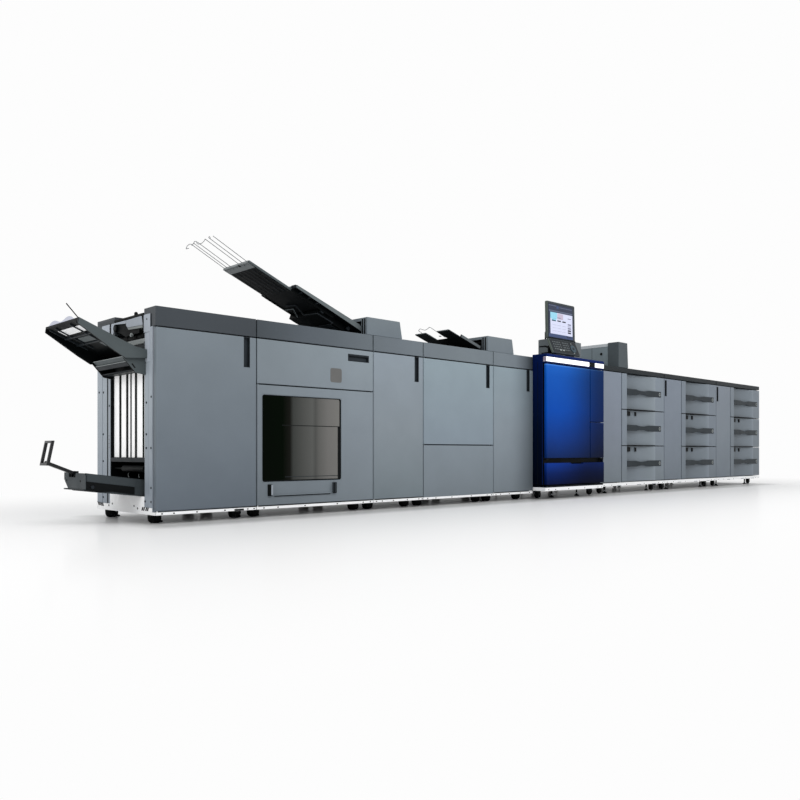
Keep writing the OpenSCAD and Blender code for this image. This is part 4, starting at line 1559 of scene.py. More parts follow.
@dataclass
class FinishingRow:
    """The inserter, folder and relay units with their shared covers and cases."""

    def build(self) -> None:
        """Makes the three units and what they share."""
        # The doors lighten towards the top and the relay door darkens towards the engine: painted light and
        # shade.
        inserter = front_coat("inserter_door_coat", "#707a80", "#7e878e", "#858f98")
        PlainUnit("inserter", UNITS[2].right, inserter).build()
        folder = PaintedSteel(
            "folder_door_coat", Slot.PANEL, "#808d98", 0.42,
            stops=((65, "#727b82"), (392, "#7a848c"), (400, "#7d8993"), (940, "#86949c")),
        )
        PlainUnit("folder", UNITS[3].right, folder).build()
        relay = front_coat(
            "relay_door_coat", "#717a81", "#7e8890", "#839199",
            roughness=0.40, dim_from=2660, dim_to=2960, dim=0.6,
        )
        PlainUnit("relay", UNITS[4].right, relay).build()
        soften("folder_panel", folder, edge=DOOR_EDGE, steps=3)
        # The cases' front faces are painted dark: painted shade in the gaps round the doors.
        shell = soften("unit_cases", CASE, DARK, edge=CASE_EDGE, back_inset=CASE_RIM)
        paint(shell, 1, (1300, -2, 0), (3000, 45, 2000))
        self.make_covers()

    def make_covers(self) -> None:
        """Makes the dark covers and the lids let into their tops."""
        # The covers lighten towards the middle of the line and darken next to the engine: painted reflection
        # and shade.
        finish = PaintedSteel(
            "unit_cover_coat", Slot.COVER, "#5b6267", 0.34, ramp_axis=Axis.X,
            stops=(
                (564, "#42484d"), (900, "#51585f"), (1380, "#61696f"), (1600, "#666e75"),
                (2150, "#6e777d"), (2740, "#6c757c"), (2860, "#565d63"), (2947, "#33383c"),
            ),
        )
        soften("unit_covers", finish, edge=4, steps=3)
        bench = Bench("unit_lids", "line", finish, BLACK)
        for unit in UNITS[1:ENGINE_NUMBER]:
            x0, x1 = unit.case_left, unit.right
            bench.box((x0 + 30, 440, UNIT_TOP), (x1 - 30, 640, UNIT_TOP + 2.4), 1.2)
            for y in range(560, 626, 11):
                bench.box((x0 + 60, y, UNIT_TOP + 2.3), (x1 - 60, y + 5, UNIT_TOP + 3), 0.2, 1)
        bench.close()


@dataclass
class ExitTowers:
    """The two cover boxes on the units' tops, each with an exit slot in its left side.

    Attributes:
        lefts: The left side of each, by its name.
        base: Height of their feet.
        slot: The slots' nearest and farthest edge and their depth.
    """

    lefts: tuple[tuple[str, float], ...] = (("inserter", 1333.0), ("folder", 2436.0))
    base: float = UNIT_TOP
    slot: tuple[float, float, float] = (55.0, 415.0, 45.0)

    def build(self) -> None:
        """Makes both boxes, the guide bars and the roller in each slot."""
        # Slightly lighter at the top: painted light.
        coat = PaintedSteel(
            "tower_cover_coat", Slot.COVER, "#6b7479", 0.36, stops=((1040, "#687178"), (1144, "#6d767c"))
        )
        shell = soften("exit_towers", coat, BLACK, edge=3, steps=3)
        y0, y1, deep = self.slot
        for name, x in self.lefts:
            paint(shell, 1, (x + 0.4, y0 - 0.5, self.base + 5), (x + deep + 0.5, y1 + 0.5, self.base + 85))
            bench = Bench(f"{name}_tower_guides", "line", DARK, BLACK, RUBBER)
            bench.box((x + deep - 4, y0 + 1, self.base + 7), (x + deep - 0.6, y1 - 1, self.base + 83), 0.4, 1)
            count = 8
            for i in range(count):
                y = y0 + 22 + (y1 - y0 - 50) * i / (count - 1)
                bench.box((x + deep - 9, y, self.base + 8), (x + deep - 4, y + 8, self.base + 83), 1.2)
            bench.rod((x + 26, y0 + 1, self.base + 66), (x + 26, y1 - 1, self.base + 66), 9, 1.0, 2)
            for y in (16, 36):
                bench.box((x - 0.5, y, self.base + 5), (x + 1.0, y + 12, self.base + 96), 0.3, 1)
            bench.close()


@dataclass
class LongTray:
    """The long sloping tray over the stacker, with its slide and its wires."""

    low_end: tuple[float, float] = (1373.0, 1064.0)
    slope: float = 22.0
    y0: float = 60.0
    y1: float = 400.0
    length: float = 548.0
    out: float = 299.0
    wire_length: float = 238.0
    places: tuple[float, ...] = (0.08, 0.25, 0.39, 0.71, 0.85, 0.955)

    def build(self) -> None:
        """Makes the tray, its slide, its wires and the small parts on them."""
        self.make_tray()
        self.make_slide()
        self.make_wires()

    @property
    def pivot(self) -> Point:
        """The point that the slope turns about."""
        return (self.low_end[0], 0.0, self.low_end[1])

    @property
    def slide_sides(self) -> Range:
        """The nearer and the farther side of the slide."""
        return (self.y0 + 40, self.y1 - 43)

    def place(self, along: float, y: float, up: float) -> Point:
        """A place on the tray before it leans, counted from its low end."""
        return (self.low_end[0] + along, y, self.low_end[1] + up)

    def side(self, *points: Flat) -> list[Flat]:
        """A side outline before it leans, from places along the tray and above it."""
        return [(self.low_end[0] + along, self.low_end[1] + up) for along, up in points]

    def make_tray(self) -> None:
        """Makes the tray with ribs, latches and lighter side walls."""
        soften("long_tray", BLACK, edge=1.8, steps=3)
        grey = MouldedPlastic("tray_wall_abs", Slot.BLACK, "#596062", 0.45)
        bench = Bench("long_tray_relief", "line", BLACK, grey, MID_GREY, DARK)
        p, end, near = self.place, -self.length, self.y0
        bench.plate(
            self.side((end, -11), (-40, -11), (-60, 19.5), (end, 4.5)), Axis.Y, near - 1.2, near - 0.1, 0.5,
            1,
        )
        bench.plate(
            self.side((-46, -11), (-4, -11), (-4, 0), (-60, 19.5)), Axis.Y, near - 1.0, near - 0.1, 0.4, 1
        )
        bench.box(p(end - 5, near + 2, -11), p(end - 0.2, self.y1 - 2, 1.5), 2.0, 1)
        bench.rod(p(end - 3, near + 2, -6), p(end - 3, near + 34, -6), 9, 2, 3, 24)
        bench.box(p(end - 6, near + 40, -14), p(end + 24, near + 70, -10.6), 1.5, 2)
        for y in range(90, 380, 34):
            bench.box(p(end + 16, y, 0), p(-70, y + 5, 2.2), 1.0, 0)
        for y in (100, 190, 280, 350):
            bench.box(p(end + 12, y, -19), p(-345, y + 6, -12), 0.8, 3)
        for along in (-500, -440, -380):
            bench.box(p(along, near + 6, -17), p(along + 7, near + 32, -12), 0.8, 3)
        spring = (
            (-430, 300, -27), (-414, 223, -27), (-340, 228, -48), (-330, 112, -48), (-214, 104, -48),
            (-202, 140, -48),
        )
        bench.wire([p(*bend) for bend in spring], 3.4, 3)
        bench.wire([p(-396, 361, -27), p(-388, 280, -27), p(-330, 300, -48)], 3.0, 1)
        bench.box(p(-210, 140, -50), p(-130, 330, -46), 1.5, 3)
        for along in (-318, -108):
            bench.plate(
                self.side((along, -13), (along + 22, -13), (along + 16, -36), (along - 6, -32)), Axis.Y, 96,
                108, 1.5, 3
            )
        bench.close(self.pivot, Axis.Y, self.slope)

    def make_slide(self) -> None:
        """Makes the slide with its ribs and the light plate on its outer end."""
        soften("tray_slide", BLACK, edge=1.5)
        low, high = self.slide_sides
        end = -self.length - self.out
        p = self.place
        light = MouldedPlastic("slide_plate_abs", Slot.BRIGHT, "#7d8283", 0.45)
        bench = Bench("tray_slide_relief", "line", DARK, light, BLACK, TRAY_GREY)
        for i in range(7):
            y = low + 14 + i * (high - low - 34) / 6
            bench.box(p(end + 12, y, -12.3), p(-self.length - 4, y + 6, -10.2), 0.8)
            bench.box(p(end + 52, y, -25.8), p(-self.length - 4, y + 5, -24.3), 0.6)
        bench.box(p(end - 0.6, low + 9, -26), p(end + 50, high - 2, -24.2), 0.8, 1)
        bench.box(p(end - 1.4, low + 9, -25), p(end - 0.1, high - 2, -13), 0.4, 1)
        bench.box(p(end - 1.0, low + 92, -26.6), p(end + 16, low + 108, -25.8), 0.3, 2)
        bench.box(p(end + 6, low + 20, -26.5), p(end + 8, high - 14, -25.8), 0.2, 3)
        for i in range(7):
            y = low + 22 + i * (high - low - 40) / 6
            bench.rod(p(end + 14, y, -26.5), p(end + 14, y, -25.9), 3.2, 0, 2, 10)
        bench.box(p(end - 0.2, low - 0.8, -25), p(-self.length, low + 6, -12.6), 1.5, 3)
        bench.close(self.pivot, Axis.Y, self.slope)

    def make_wires(self) -> None:
        """Makes the six wires and the bent chain that joins the farther ones."""
        low, high = self.slide_sides
        root = -self.length - self.out
        end = root - self.wire_length
        p = self.place
        bench = Bench("tray_wire_set", "line", DULL_WIRE)
        spots = [low + share * (high - low) for share in self.places]
        for y in spots:
            bench.wire([p(root + 14, y, -18.0), p(end + 12, y, -2.6)], 1.7, 0, 10)
        bench.wire(
            [p(end + 12, spots[1], -2.6), p(end + 9, spots[1] - 9, 1), p(end + 17, spots[1] - 14, -6)], 1.5
        )
        chain = [
            (spots[2], 12, -2.6), (214, 17, -8), (236, 19, -16), (262, 15, -19), (277, 11, -13),
            (282.5, 7, -2),
            (300, 4, -0.6), (318.5, 11, -2.6), (330, 12, -14), (345.4, 12, -2.6), (352, 5, -5), (362, 1, -18),
            (368, 4, -32), (358, 14, -24),
        ]
        bench.wire([p(end + along, y, up) for y, along, up in chain], 1.6)
        bench.close(self.pivot, Axis.Y, self.slope)
        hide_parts("tray_wires")


@dataclass
class SmallTray:
    """The small forked tray over the inserter and the folder."""

    seat: tuple[float, float] = (2441.0, 1056.0)
    slope: float = 17.3

    def build(self) -> None:
        """Makes the tray, the wire loop between its prongs and its light edges."""
        soften("small_tray", BLACK, edge=1.8, steps=3)
        x, z = self.seat
        bench = Bench(
            "small_tray_relief", "line", TRAY_GREY, DULL_WIRE,
            MouldedPlastic("small_wall_abs", Slot.COVER, "#565c5f"), DARK,
        )
        bench.box((x - 352, 62.5, z - 7.5), (x - 349.2, 167.5, z - 0.5), 0.8)
        bench.box((x - 352, 274.5, z - 7.5), (x - 349.2, 373.5, z - 0.5), 0.8)
        bench.box((x - 346, 61.2, z - 3), (x - 232, 62, z + 0.6), 0.3)
        bench.box((x - 346, 273.2, z - 6), (x - 232, 274, z + 0.6), 0.3)
        bench.box((x - 229, 50.8, z - 6), (x - 26, 52, z + 13), 0.5, 2)
        for y in (84, 116, 148, 290, 322, 354):
            bench.box((x - 330, y, z), (x - 40, y + 4, z + 1.8), 0.8, 3)
        loop = [(240, 190, 2), (327, 185, 3), (385, 197, 12), (392, 205, 14), (388, 222, 6), (382, 250, 2),
                (385, 275, 8), (390, 290, 13), (388, 300, 14), (384, 312, 4), (240, 318, -2)]
        bench.wire([(x - u, y, z + w) for u, y, w in loop], 1.7, 1)
        bench.plate(rounded(x - 295, 184, x - 280, 202, 3), Axis.Z, z - 9.0, z - 8.0, 0.2, 2)
        bench.close((x, 0.0, z), Axis.Y, self.slope)


# The engine's blues lighten towards the top, with a bright band at the doors' top edge, and darken towards
# the right: painted light, highlight and shade.
PAINTED_BLUE_STOPS = (
    (96, "#040f30"), (262, "#0a2050"), (301, "#0a2456"), (437, "#0c3580"), (650, "#0646a4"), (900, "#1151ab"),
    (972, "#1a5cb8"), (984, "#4c86dc"),
)
DRAWER_BLUE = PaintedSteel(
    "engine_drawer_coat", Slot.BLUE, "#071f52", 0.36, 0.02,
    stops=((107, "#020e34"), (190, "#07205a"), (262, "#103588")), dim_from=3000, dim_to=3500, dim=0.3,
)
ENGINE_BLUE = PaintedSteel(
    "engine_blue_gloss_coat", Slot.BLUE, "#0648a8", 0.36, 0.03, stops=PAINTED_BLUE_STOPS, dim_from=3080,
    dim_to=3700, dim=0.2
)
CAP_BLUE = PaintedSteel("engine_cap_coat", Slot.BLUE, "#0a1f58", 0.36, 0.03)
# The navy lightens towards the top: painted light.
NAVY = PaintedSteel(
    "engine_navy_coat", Slot.NAVY, "#020d20", 0.36, 0.04,
    stops=((80, "#010510"), (500, "#020e26"), (1050, "#061848"))
)
LIT_WHITE = LitPlastic("opal_acrylic_diffuser", Slot.LIGHT, "#ffffff", 0.35, glow=0.75, cell=9.0)


@dataclass
class PrintEngine:
    """The print engine: navy housing, blue doors, lit bar and lower drawer."""

    x: float = 2950.0
    front: float = -118.0
    front_right: float = 3718.0
    leaf_x: float = 3519.0
    lens: tuple[float, float] = (3510.0, 3590.0)
    bar: tuple[float, float] = (1003.0, 1036.0)
    deck: float = 1042.0

    def build(self) -> None:
        """Makes the housing, the doors, the lit bar and the drawer."""
        self.make_case()
        self.make_front()
        self.make_bar()
        self.make_drawer()
        self.make_deck()

    def make_case(self) -> None:
        """Makes the navy housing, black in the gaps of its front as painted shade, with a pale strip on its
        side as painted highlight.
        """
        shell = soften("engine_case", NAVY, BLACK, edge=2.0, back_inset=CASE_RIM)
        # Black on the case's front behind the doors and in the gap over the drawer: painted shade.
        paint(shell, 1, (self.x, -92, 100), (self.front_right, 340, 1003.2))
        paint(shell, 1, (self.x, -116, 288), (self.front_right, -80, 302))
        paint(shell, 1, (self.lens[0] - 1, -116, 1002), (self.lens[1] + 1, -85, 1037))
        # A lighter navy strip on the side, standing out a little: its colour is a painted highlight.
        light = PaintedSteel("engine_fold_coat", Slot.NAVY, "#0a1c4e", 0.3, 0.05)
        bench = Bench("engine_side_trim", "line", light, BLACK)
        left = self.x + SEAM
        bench.box((left - 1.2, -84, 108), (left - 0.1, -78, 984), 0.4)
        bench.box((left - 0.8, -40, 108), (left - 0.1, -37, 1002), 0.2, 1)
        bench.close()

    def make_front(self) -> None:
        """Makes the three doors and the cap over them, the cap's left end dark as painted shade and a pale
        line at the split as painted highlight.
        """
        for name in ("engine_door", "side_door_upper", "side_door_lower"):
            soften(name, ENGINE_BLUE, edge=3.0, steps=3)
        shell = soften("engine_cap", CAP_BLUE, NAVY, edge=4.0, steps=3)
        # The cap's left end in navy: painted shade on that side.
        paint(shell, 1, (self.x - 10, self.front - 2, 1030), (self.x + 8, 700, 1070))
        paint(shell, 1, (self.x - 10, self.front + 4.2, 1030), (self.front_right + 140, 700, 1070))
        # A pale blue line at the top of the lower side door: painted highlight.
        bench = Bench(
            "engine_split_trim", "side_door_lower",
            PaintedSteel("door_edge_coat", Slot.BLUE, "#3c5cae", 0.3),
        )
        bench.box(
            (self.leaf_x + 8, self.front + 1.2, 571.6), (self.front_right - 10, self.front + 4, 572.9), 0.2
        )
        bench.close()

    def make_bar(self) -> None:
        """Makes the lit bar with its end cap and the dark window in it."""
        soften("light_bar", LIT_WHITE, edge=2.0)
        lilac = LitPlastic("tinted_opal_acrylic", Slot.LIGHT, "#8f8494", 0.35, glow=0.1, cell=9.0)
        bench = Bench("light_bar_end", "line", lilac, BLACK)
        low, high = self.bar
        bench.box((self.x + 2.2, self.front + 3, low + 1), (self.x + 3.2, -88, high - 1), 0.3)
        bench.box(
            (self.lens[0] + 2, self.front + 2.2, low + 1), (self.lens[1] - 2, self.front + 4, high - 1),
            0.6, 1,
        )
        bench.rod(
            (self.lens[0] + 40, self.front + 1.6, low + 16),
            (self.lens[0] + 40, self.front + 2.4, low + 16), 5, 0.2, 1, 20,
        )
        bench.close()

    def make_drawer(self) -> None:
        """Makes the lower drawer with a painted highlight on its upper edge and painted shade behind its
        front, and the end of the gap over it.
        """
        drawer_highlight = PaintedSteel(
            "drawer_edge_coat", Slot.BLUE, "#4a63b4", 0.3, dim_from=3100, dim_to=3600, dim=0.15
        )
        shell = soften("engine_drawer", DRAWER_BLUE, BLACK, drawer_highlight, edge=3.0, steps=3)
        # Black on the drawer behind its front: painted shade in the gap over it.
        paint(shell, 1, (self.x, -96.2, 100), (self.front_right, 400, 262))
        # The bevel of the upper edge in pale blue: painted highlight.
        paint(shell, 2, (self.x, self.front - 1, 258.8), (self.front_right, self.front + 3.1, 262.4))
        bench = Bench("engine_gap_end", "line", NAVY)
        bench.box((self.front_right - 16, self.front + 7, 264), (self.front_right - 3.4, -91, 299), 0.6)
        bench.close()

    def make_deck(self) -> None:
        """Makes the lids, the grilles and the seams of the engine's deck."""
        deck = self.deck
        bench = Bench("engine_deck", "line", NAVY, BLACK, COVER)
        bench.box((3180, 200, deck), (3620, 610, deck + 3), 1.6)
        bench.box((2985, 200, deck), (3140, 640, deck + 2.4), 1.2)
        bench.box((3660, 80, deck), (3820, 640, deck + 2.4), 1.2)
        for i in range(9):
            bench.box((3680, 130 + i * 26, deck + 2.3), (3800, 142 + i * 26, deck + 3.2), 0.3, 1)
        for i in range(10):
            bench.box((3230, 230 + i * 14, deck + 2.9), (3570, 236 + i * 14, deck + 3.8), 0.3, 1)
        bench.close()


SCREEN_GLASS = LitPlastic("screen_pale", Slot.LIGHT, "#c2c6dc", 0.2, glow=0.25, cell=0.8)


@dataclass
class ControlPanel:
    """The screen and the sloping keypad on their post."""

    foot: tuple[float, float] = (-46.0, 1190.0)
    tilt: float = -1.0
    slope: float = -24.0
    left: float = field(init=False)
    right: float = field(init=False)

    def build(self) -> None:
        """Makes the housing, the picture, the keys and the post."""
        housing = MouldedPlastic("panel_housing_abs", Slot.COVER, "#343a3e", 0.42)
        side = MouldedPlastic("panel_side_abs", Slot.COVER, "#4d5550", 0.42)
        low, high = span("control_panel")
        self.left, self.right = low[0], high[0]
        shell = soften("control_panel", housing, side, edge=7.0, steps=4)
        paint(shell, 1, (self.left - 1, -200, 1000), (self.left + 6, 200, 1500))
        self.make_picture()
        self.make_keys()
        self.make_post()

    def make_picture(self) -> None:
        """Makes the screen's picture out of plain blocks that stand for its menus."""
        tints = [
            LitPlastic(f"screen_{word}", Slot.LIGHT, code, 0.25, glow=0.12, cell=0.8)
            for word, code in (
                ("slate", "#30364a"), ("steel", "#565e73"), ("cyan", "#8fc9df"), ("teal", "#123f50"),
                ("ink", "#2e2f3c"),
                ("mauve", "#b9aec2"), ("grey", "#77788c"), ("faint", "#a9acc2"), ("blue", "#39486b"),
            )
        ]
        slate, steel, cyan, teal, ink, mauve, grey, faint, blue = range(2, 11)
        bench = Bench("screen_picture", "control_panel", BLACK, SCREEN_GLASS, *tints)
        y, z0 = self.foot
        x0 = self.left

        def block(u0: float, v0: float, u1: float, v1: float, finish: int, out: float = 1.7) -> None:
            """Adds one block, from its sides in mm from the housing's lower left corner."""
            bench.box((x0 + u0, y - out, z0 + v0), (x0 + u1, y - out + 0.6, z0 + v1), 0.1, finish)

        block(9, 8, 323, 258, 0, 0.8)
        block(11, 10, 321, 256, slate, 1.2)
        block(33, 36, 318, 196, 1, 1.5)
        for u0, v0, u1, v1, finish in (
            (14, 243, 110, 249, steel), (112, 226, 140, 246, blue), (150, 236, 312, 241, steel),
            (14, 201, 318, 211, steel),
            (33, 150, 118, 196, cyan), (50, 138, 108, 152, cyan), (50, 131, 102, 141, teal),
            (122, 150, 196, 192, mauve),
            (122, 158, 166, 163, grey), (121, 132, 166, 142, ink), (185, 131, 231, 141, ink),
            (256, 164, 298, 169, grey),
            (256, 118, 298, 128, grey), (256, 103, 298, 114, faint), (256, 88, 298, 99, grey),
            (256, 70, 298, 82, ink),
            (256, 54, 298, 65, ink), (11, 10, 321, 36, blue), (240, 20, 300, 34, steel),
        ):
            block(u0, v0, u1, v1, finish)
        for u in range(3):
            for v in range(3):
                block(60 + u * 62, 58 + v * 22, 108 + u * 62, 61 + v * 22, faint)
        bench.close((0, y, z0), Axis.X, self.tilt)

    def make_keys(self) -> None:
        """Makes the keypad's two groups of keys and its round pad."""
        key = MouldedPlastic("key_abs", Slot.COVER, "#565c5f", 0.4)
        pad = MouldedPlastic("pad_abs", Slot.BLUE, "#2c3f49", 0.35)
        bench = Bench("panel_keys", "control_panel", key, DARK, pad, MID_GREY)
        y, z = self.foot[0], self.foot[1] + 2
        x0 = self.left
        bench.box((x0 + 10, y - 0.8, z - 118), (self.right - 10, y + 0.2, z - 12), 0.4, 1)
        for first, columns in ((34, 5), (156, 4)):
            for column in range(columns):
                for row in range(4):
                    x = x0 + first + column * 21
                    v = z - 32 - row * 20
                    bench.box((x, y - 3.0, v - 5), (x + 12, y - 0.6, v + 5), 1.4)
        for x in (x0 + 96, x0 + 134):
            bench.box((x, y - 3.2, z - 102), (x + 22, y - 0.6, z - 92), 1.4, 3)
        bench.rod((x0 + 282, y - 0.4, z - 72), (x0 + 282, y - 4.2, z - 72), 32, 1.6, 2, 36)
        bench.rod((x0 + 282, y - 4.1, z - 72), (x0 + 282, y - 5.4, z - 72), 12, 0.8, 1, 28)
        for v in (z - 28, z - 110):
            bench.rod((x0 + 276, y - 0.4, v), (x0 + 276, y - 3.0, v), 5, 0.8, 3, 20)
        bench.close((0, y, z), Axis.X, self.slope)

    def make_post(self) -> None:
        """Makes the post with its slots, its arm and the knob at its rear."""
        coat = PaintedSteel("post_cover_coat", Slot.COVER, "#666d70", 0.36)
        soften("panel_post", coat, edge=3.0, steps=3)
        low, high = span("panel_post")
        x0, top = low[0], high[2]
        bench = Bench("post_details", "line", BLACK, MID_GREY, coat)
        for i in range(6):
            bench.box((x0 + 170, 29.4, 1090 + i * 14), (x0 + 290, 30.0, 1096 + i * 14), 0)
        bench.plate(
            [(40, 1142), (92, 1160), (150, 1160), (150, 1150), (96, 1148), (44, 1128)], Axis.X, x0 - 0.9,
            x0, 0.3,
        )
        bench.plate(
            [(-6, 1100), (28, 1132), (29.6, 1148), (8, 1150), (-6, 1138)], Axis.X, x0 - 60, x0 + 34, 2.0
        )
        bench.box((x0 - 60, 20, 1092), (x0 + 34, 29.8, 1136), 2.0)
        bench.box((x0 - 0.9, 44, 1052), (x0, 130, 1108), 0.3)
        bench.box((x0 + 10, 40, top), (x0 + 380, 155, top + 3), 1.4, 2)
        bench.rod((x0 + 12, 100, top + 1), (x0 + 12, 100, top + 56), 7, 2, 0, 20)
        bench.rod((x0 + 12, 100, top + 55), (x0 + 12, 100, top + 60), 5, 1.5, 1, 20)
        bench.close()


@dataclass
class FeederTower:
    """The narrow tower on the first feeder."""

    x0: float = 4129.0
    x1: float = 4285.0
    base: float = FEEDER_TOP
    top: float = 1267.0

    def build(self) -> None:
        """Makes the tower, its dark front and the trim on its left face, with a pale strip along its top
        bevel as painted highlight.
        """
        coat = PaintedSteel("tower_coat", Slot.PANEL, "#737f85", 0.42)
        soften("feeder_tower", coat, edge=3.0, steps=3)
        soften(
            "tower_front", PaintedSteel("tower_front_coat", Slot.COVER, "#434b4f", 0.36), edge=5.0, steps=3
        )
        # The pale strip along the top bevel of the left face: painted highlight.
        light = PaintedSteel("tower_trim_coat", Slot.PANEL, "#a7adb1", 0.4)
        bench = Bench("tower_trim", "line", light, BLACK, coat)
        bench.plate(
            [
                (self.x0 + 3, self.top - 31), (self.x0 + 13.4, self.top - 4.6),
                (self.x0 + 12.2, self.top - 4.2), (self.x0 + 1.8, self.top - 30.6),
            ],
            Axis.Y, 106, 598, 0.2,
        )
        bench.rod((self.x0 + 3.6, 168, 1178), (self.x0 + 4.3, 168, 1178), 12, 0.2, 1, 28)
        inner, outer = circle(168, 1178, 12.5, 28), circle(168, 1178, 16, 28)
        bench.ring(inner, outer, Axis.X, self.x0 + 2.6, self.x0 + 4.0, 0.3, 2)
        bench.box((self.x0 + 3.4, 258, self.base + 1), (self.x0 + 4.2, 260.4, self.top - 31), 0, 1)
        bench.box((self.x0 + 30, 150, self.top - 4), (self.x1 - 34, 560, self.top - 2.2), 0.8, 2)
        bench.close()


@dataclass
class PaperFeeder:
    """A paper feeder: case, top plate, blank door and three drawers with scoops.

    Attributes:
        number: Its place among the feeders, from 1.
        x: Its left side.
        coat: The coat of its blank door.
        drawer_coat: The coat of its drawers.
    """

    number: int
    x: float
    coat: PaintedSteel
    drawer_coat: PaintedSteel
    blank_width: float = 330.0
    drawer_z: tuple[float, ...] = (708.2, 401.3, 94.5)
    drawer_height: float = 300.33
    grip: tuple[float, float, float] = (80.0, 660.0, 25.0)
    scoop_span: tuple[float, float, float] = (80.0, 560.0, 38.0)
    scoop_deepest: float = 160.0

    def build(self) -> None:
        """Makes the feeder."""
        shell = soften(f"feeder_case_{self.number}", CASE, DARK, edge=CASE_EDGE, back_inset=CASE_RIM)
        # The case's front faces are dark: painted shade in the gaps round the door and drawers.
        paint(shell, 1, (self.x - 5, -2, 0), (self.x + 1060, 62, 2000))
        self.make_door()
        for letter, z0 in zip("abc", self.drawer_z):
            self.make_drawer(letter, z0)

    def make_door(self) -> None:
        """Makes the blank door and its slot handle."""
        name = f"blank_door_{self.number}"
        soften(name, self.coat, edge=DOOR_EDGE, steps=3)
        left = self.x + SEAM + 9
        bench = Bench(f"{name}_slot", name, DARK, CUP_BACK)
        slot_cup(bench, (left, 0, 850), (left + CUP_WIDTH, CUP_DEPTH, 994))
        bench.close()

    def scoop_coat(self, x0: float) -> PaintedSteel:
        """The drawers' coat inside the scoop, deep in shade at its left side.

        Args:
            x0: The drawers' left side.

        Returns:
            The finish.
        """
        stops = (
            ((80, "#566067"), (104, "#646d75"), (330, "#757e86"), (500, "#7b848b"), (565, "#828b93"))
            if self.number == 1
            else ((80, "#4f585f"), (104, "#5b646b"), (330, "#6a737b"), (500, "#727b83"), (565, "#7c858e"))
        )
        return PaintedSteel(
            f"scoop_coat_{self.number}", Slot.PANEL, "#616a72", 0.42, ramp_axis=Axis.X,
            stops=tuple((x0 + along, code) for along, code in stops),
        )

    def make_drawer(self, letter: str, z0: float) -> None:
        """Makes one drawer with its grip, the fittings on it and the strips round its scoop, with a painted
        glint and painted shadows.

        Args:
            letter: Its letter, from the top.
            z0: Its bottom.
        """
        name = f"drawer_{self.number}{letter}"
        x0 = self.x + self.blank_width + SEAM
        top = z0 + self.drawer_height
        middle = z0 + self.drawer_height / 2
        grip_x0, grip_x1, grip_z = self.grip
        scoop_x0, scoop_x1, scoop_y = self.scoop_span
        grip = MouldedPlastic("grip_bar_abs", Slot.BLACK, "#242b30", 0.4, 0.08)
        shell = soften(name, self.drawer_coat, grip, CASE, self.scoop_coat(x0), edge=1.8, steps=3)
        paint(shell, 3, (x0 + scoop_x0 - 2, -0.5, z0 - 1), (x0 + scoop_x1 + 2, scoop_y + 1, top + 1))
        paint(
            shell, 1, (x0 + grip_x0 - 1, -3, middle - grip_z - 1),
            (x0 + grip_x1 + 1, 12.6, middle + grip_z + 1),
        )
        paint(shell, 2, (x0 - 20, 59.0, z0 - 1), (x0 + 760, 600, z0 + 320))
        bench = Bench(f"{name}_fittings", name, BLACK, MID_GREY, CUP_BACK)
        # The round boss: its pale ring is a painted glint.
        bench.rod((x0 + grip_x1 - 24, -1.8, middle), (x0 + grip_x1 - 24, -3.4, middle), 15, 0.8, 1, 24)
        bench.rod((x0 + grip_x1 - 24, -3.2, middle), (x0 + grip_x1 - 24, -3.8, middle), 8, 0.2, 0, 20)
        # A dark strip over the grip's left end: painted shadow.
        bench.box((x0 + grip_x0 + 12, -2.6, middle + 12), (x0 + grip_x0 + 110, -1.9, middle + 18), 0.3, 2)
        for end in (grip_x0 + 10, grip_x1 - 60):
            bench.box(
                (x0 + end, 11, middle - 9), (x0 + end + 16, self.scoop(end + 8) + 0.5, middle + 9), 1.0, 2
            )
        if letter != "a":
            bench.box((x0 + 126, 28, top - 46), (x0 + 184, 38.2, top - 9), 0.6)
            bench.box((x0 + 262, 26, top - 46), (x0 + 280, 35.4, top - 11), 0.4)
        # A black strip along the drawer's foot: painted shadow in the gap to the drawer below.
        if letter != "c":
            bench.box((x0 + 3, 0.4, z0 - 2.8), (x0 + 705, 36, z0 + 3.4), 0.2)
        bench.close()

    def scoop(self, along: float) -> float:
        """How deep the scoop is.

        Args:
            along: The distance from the drawer's left side.

        Returns:
            The depth behind the drawer's front, at least that of the grip's back.
        """
        _, end, depth = self.scoop_span
        radius = ((end - self.scoop_deepest) ** 2 + depth**2) / (2 * depth)
        rise = math.sqrt(radius**2 - (along - self.scoop_deepest) ** 2)
        return max(12.5, depth - radius + rise)


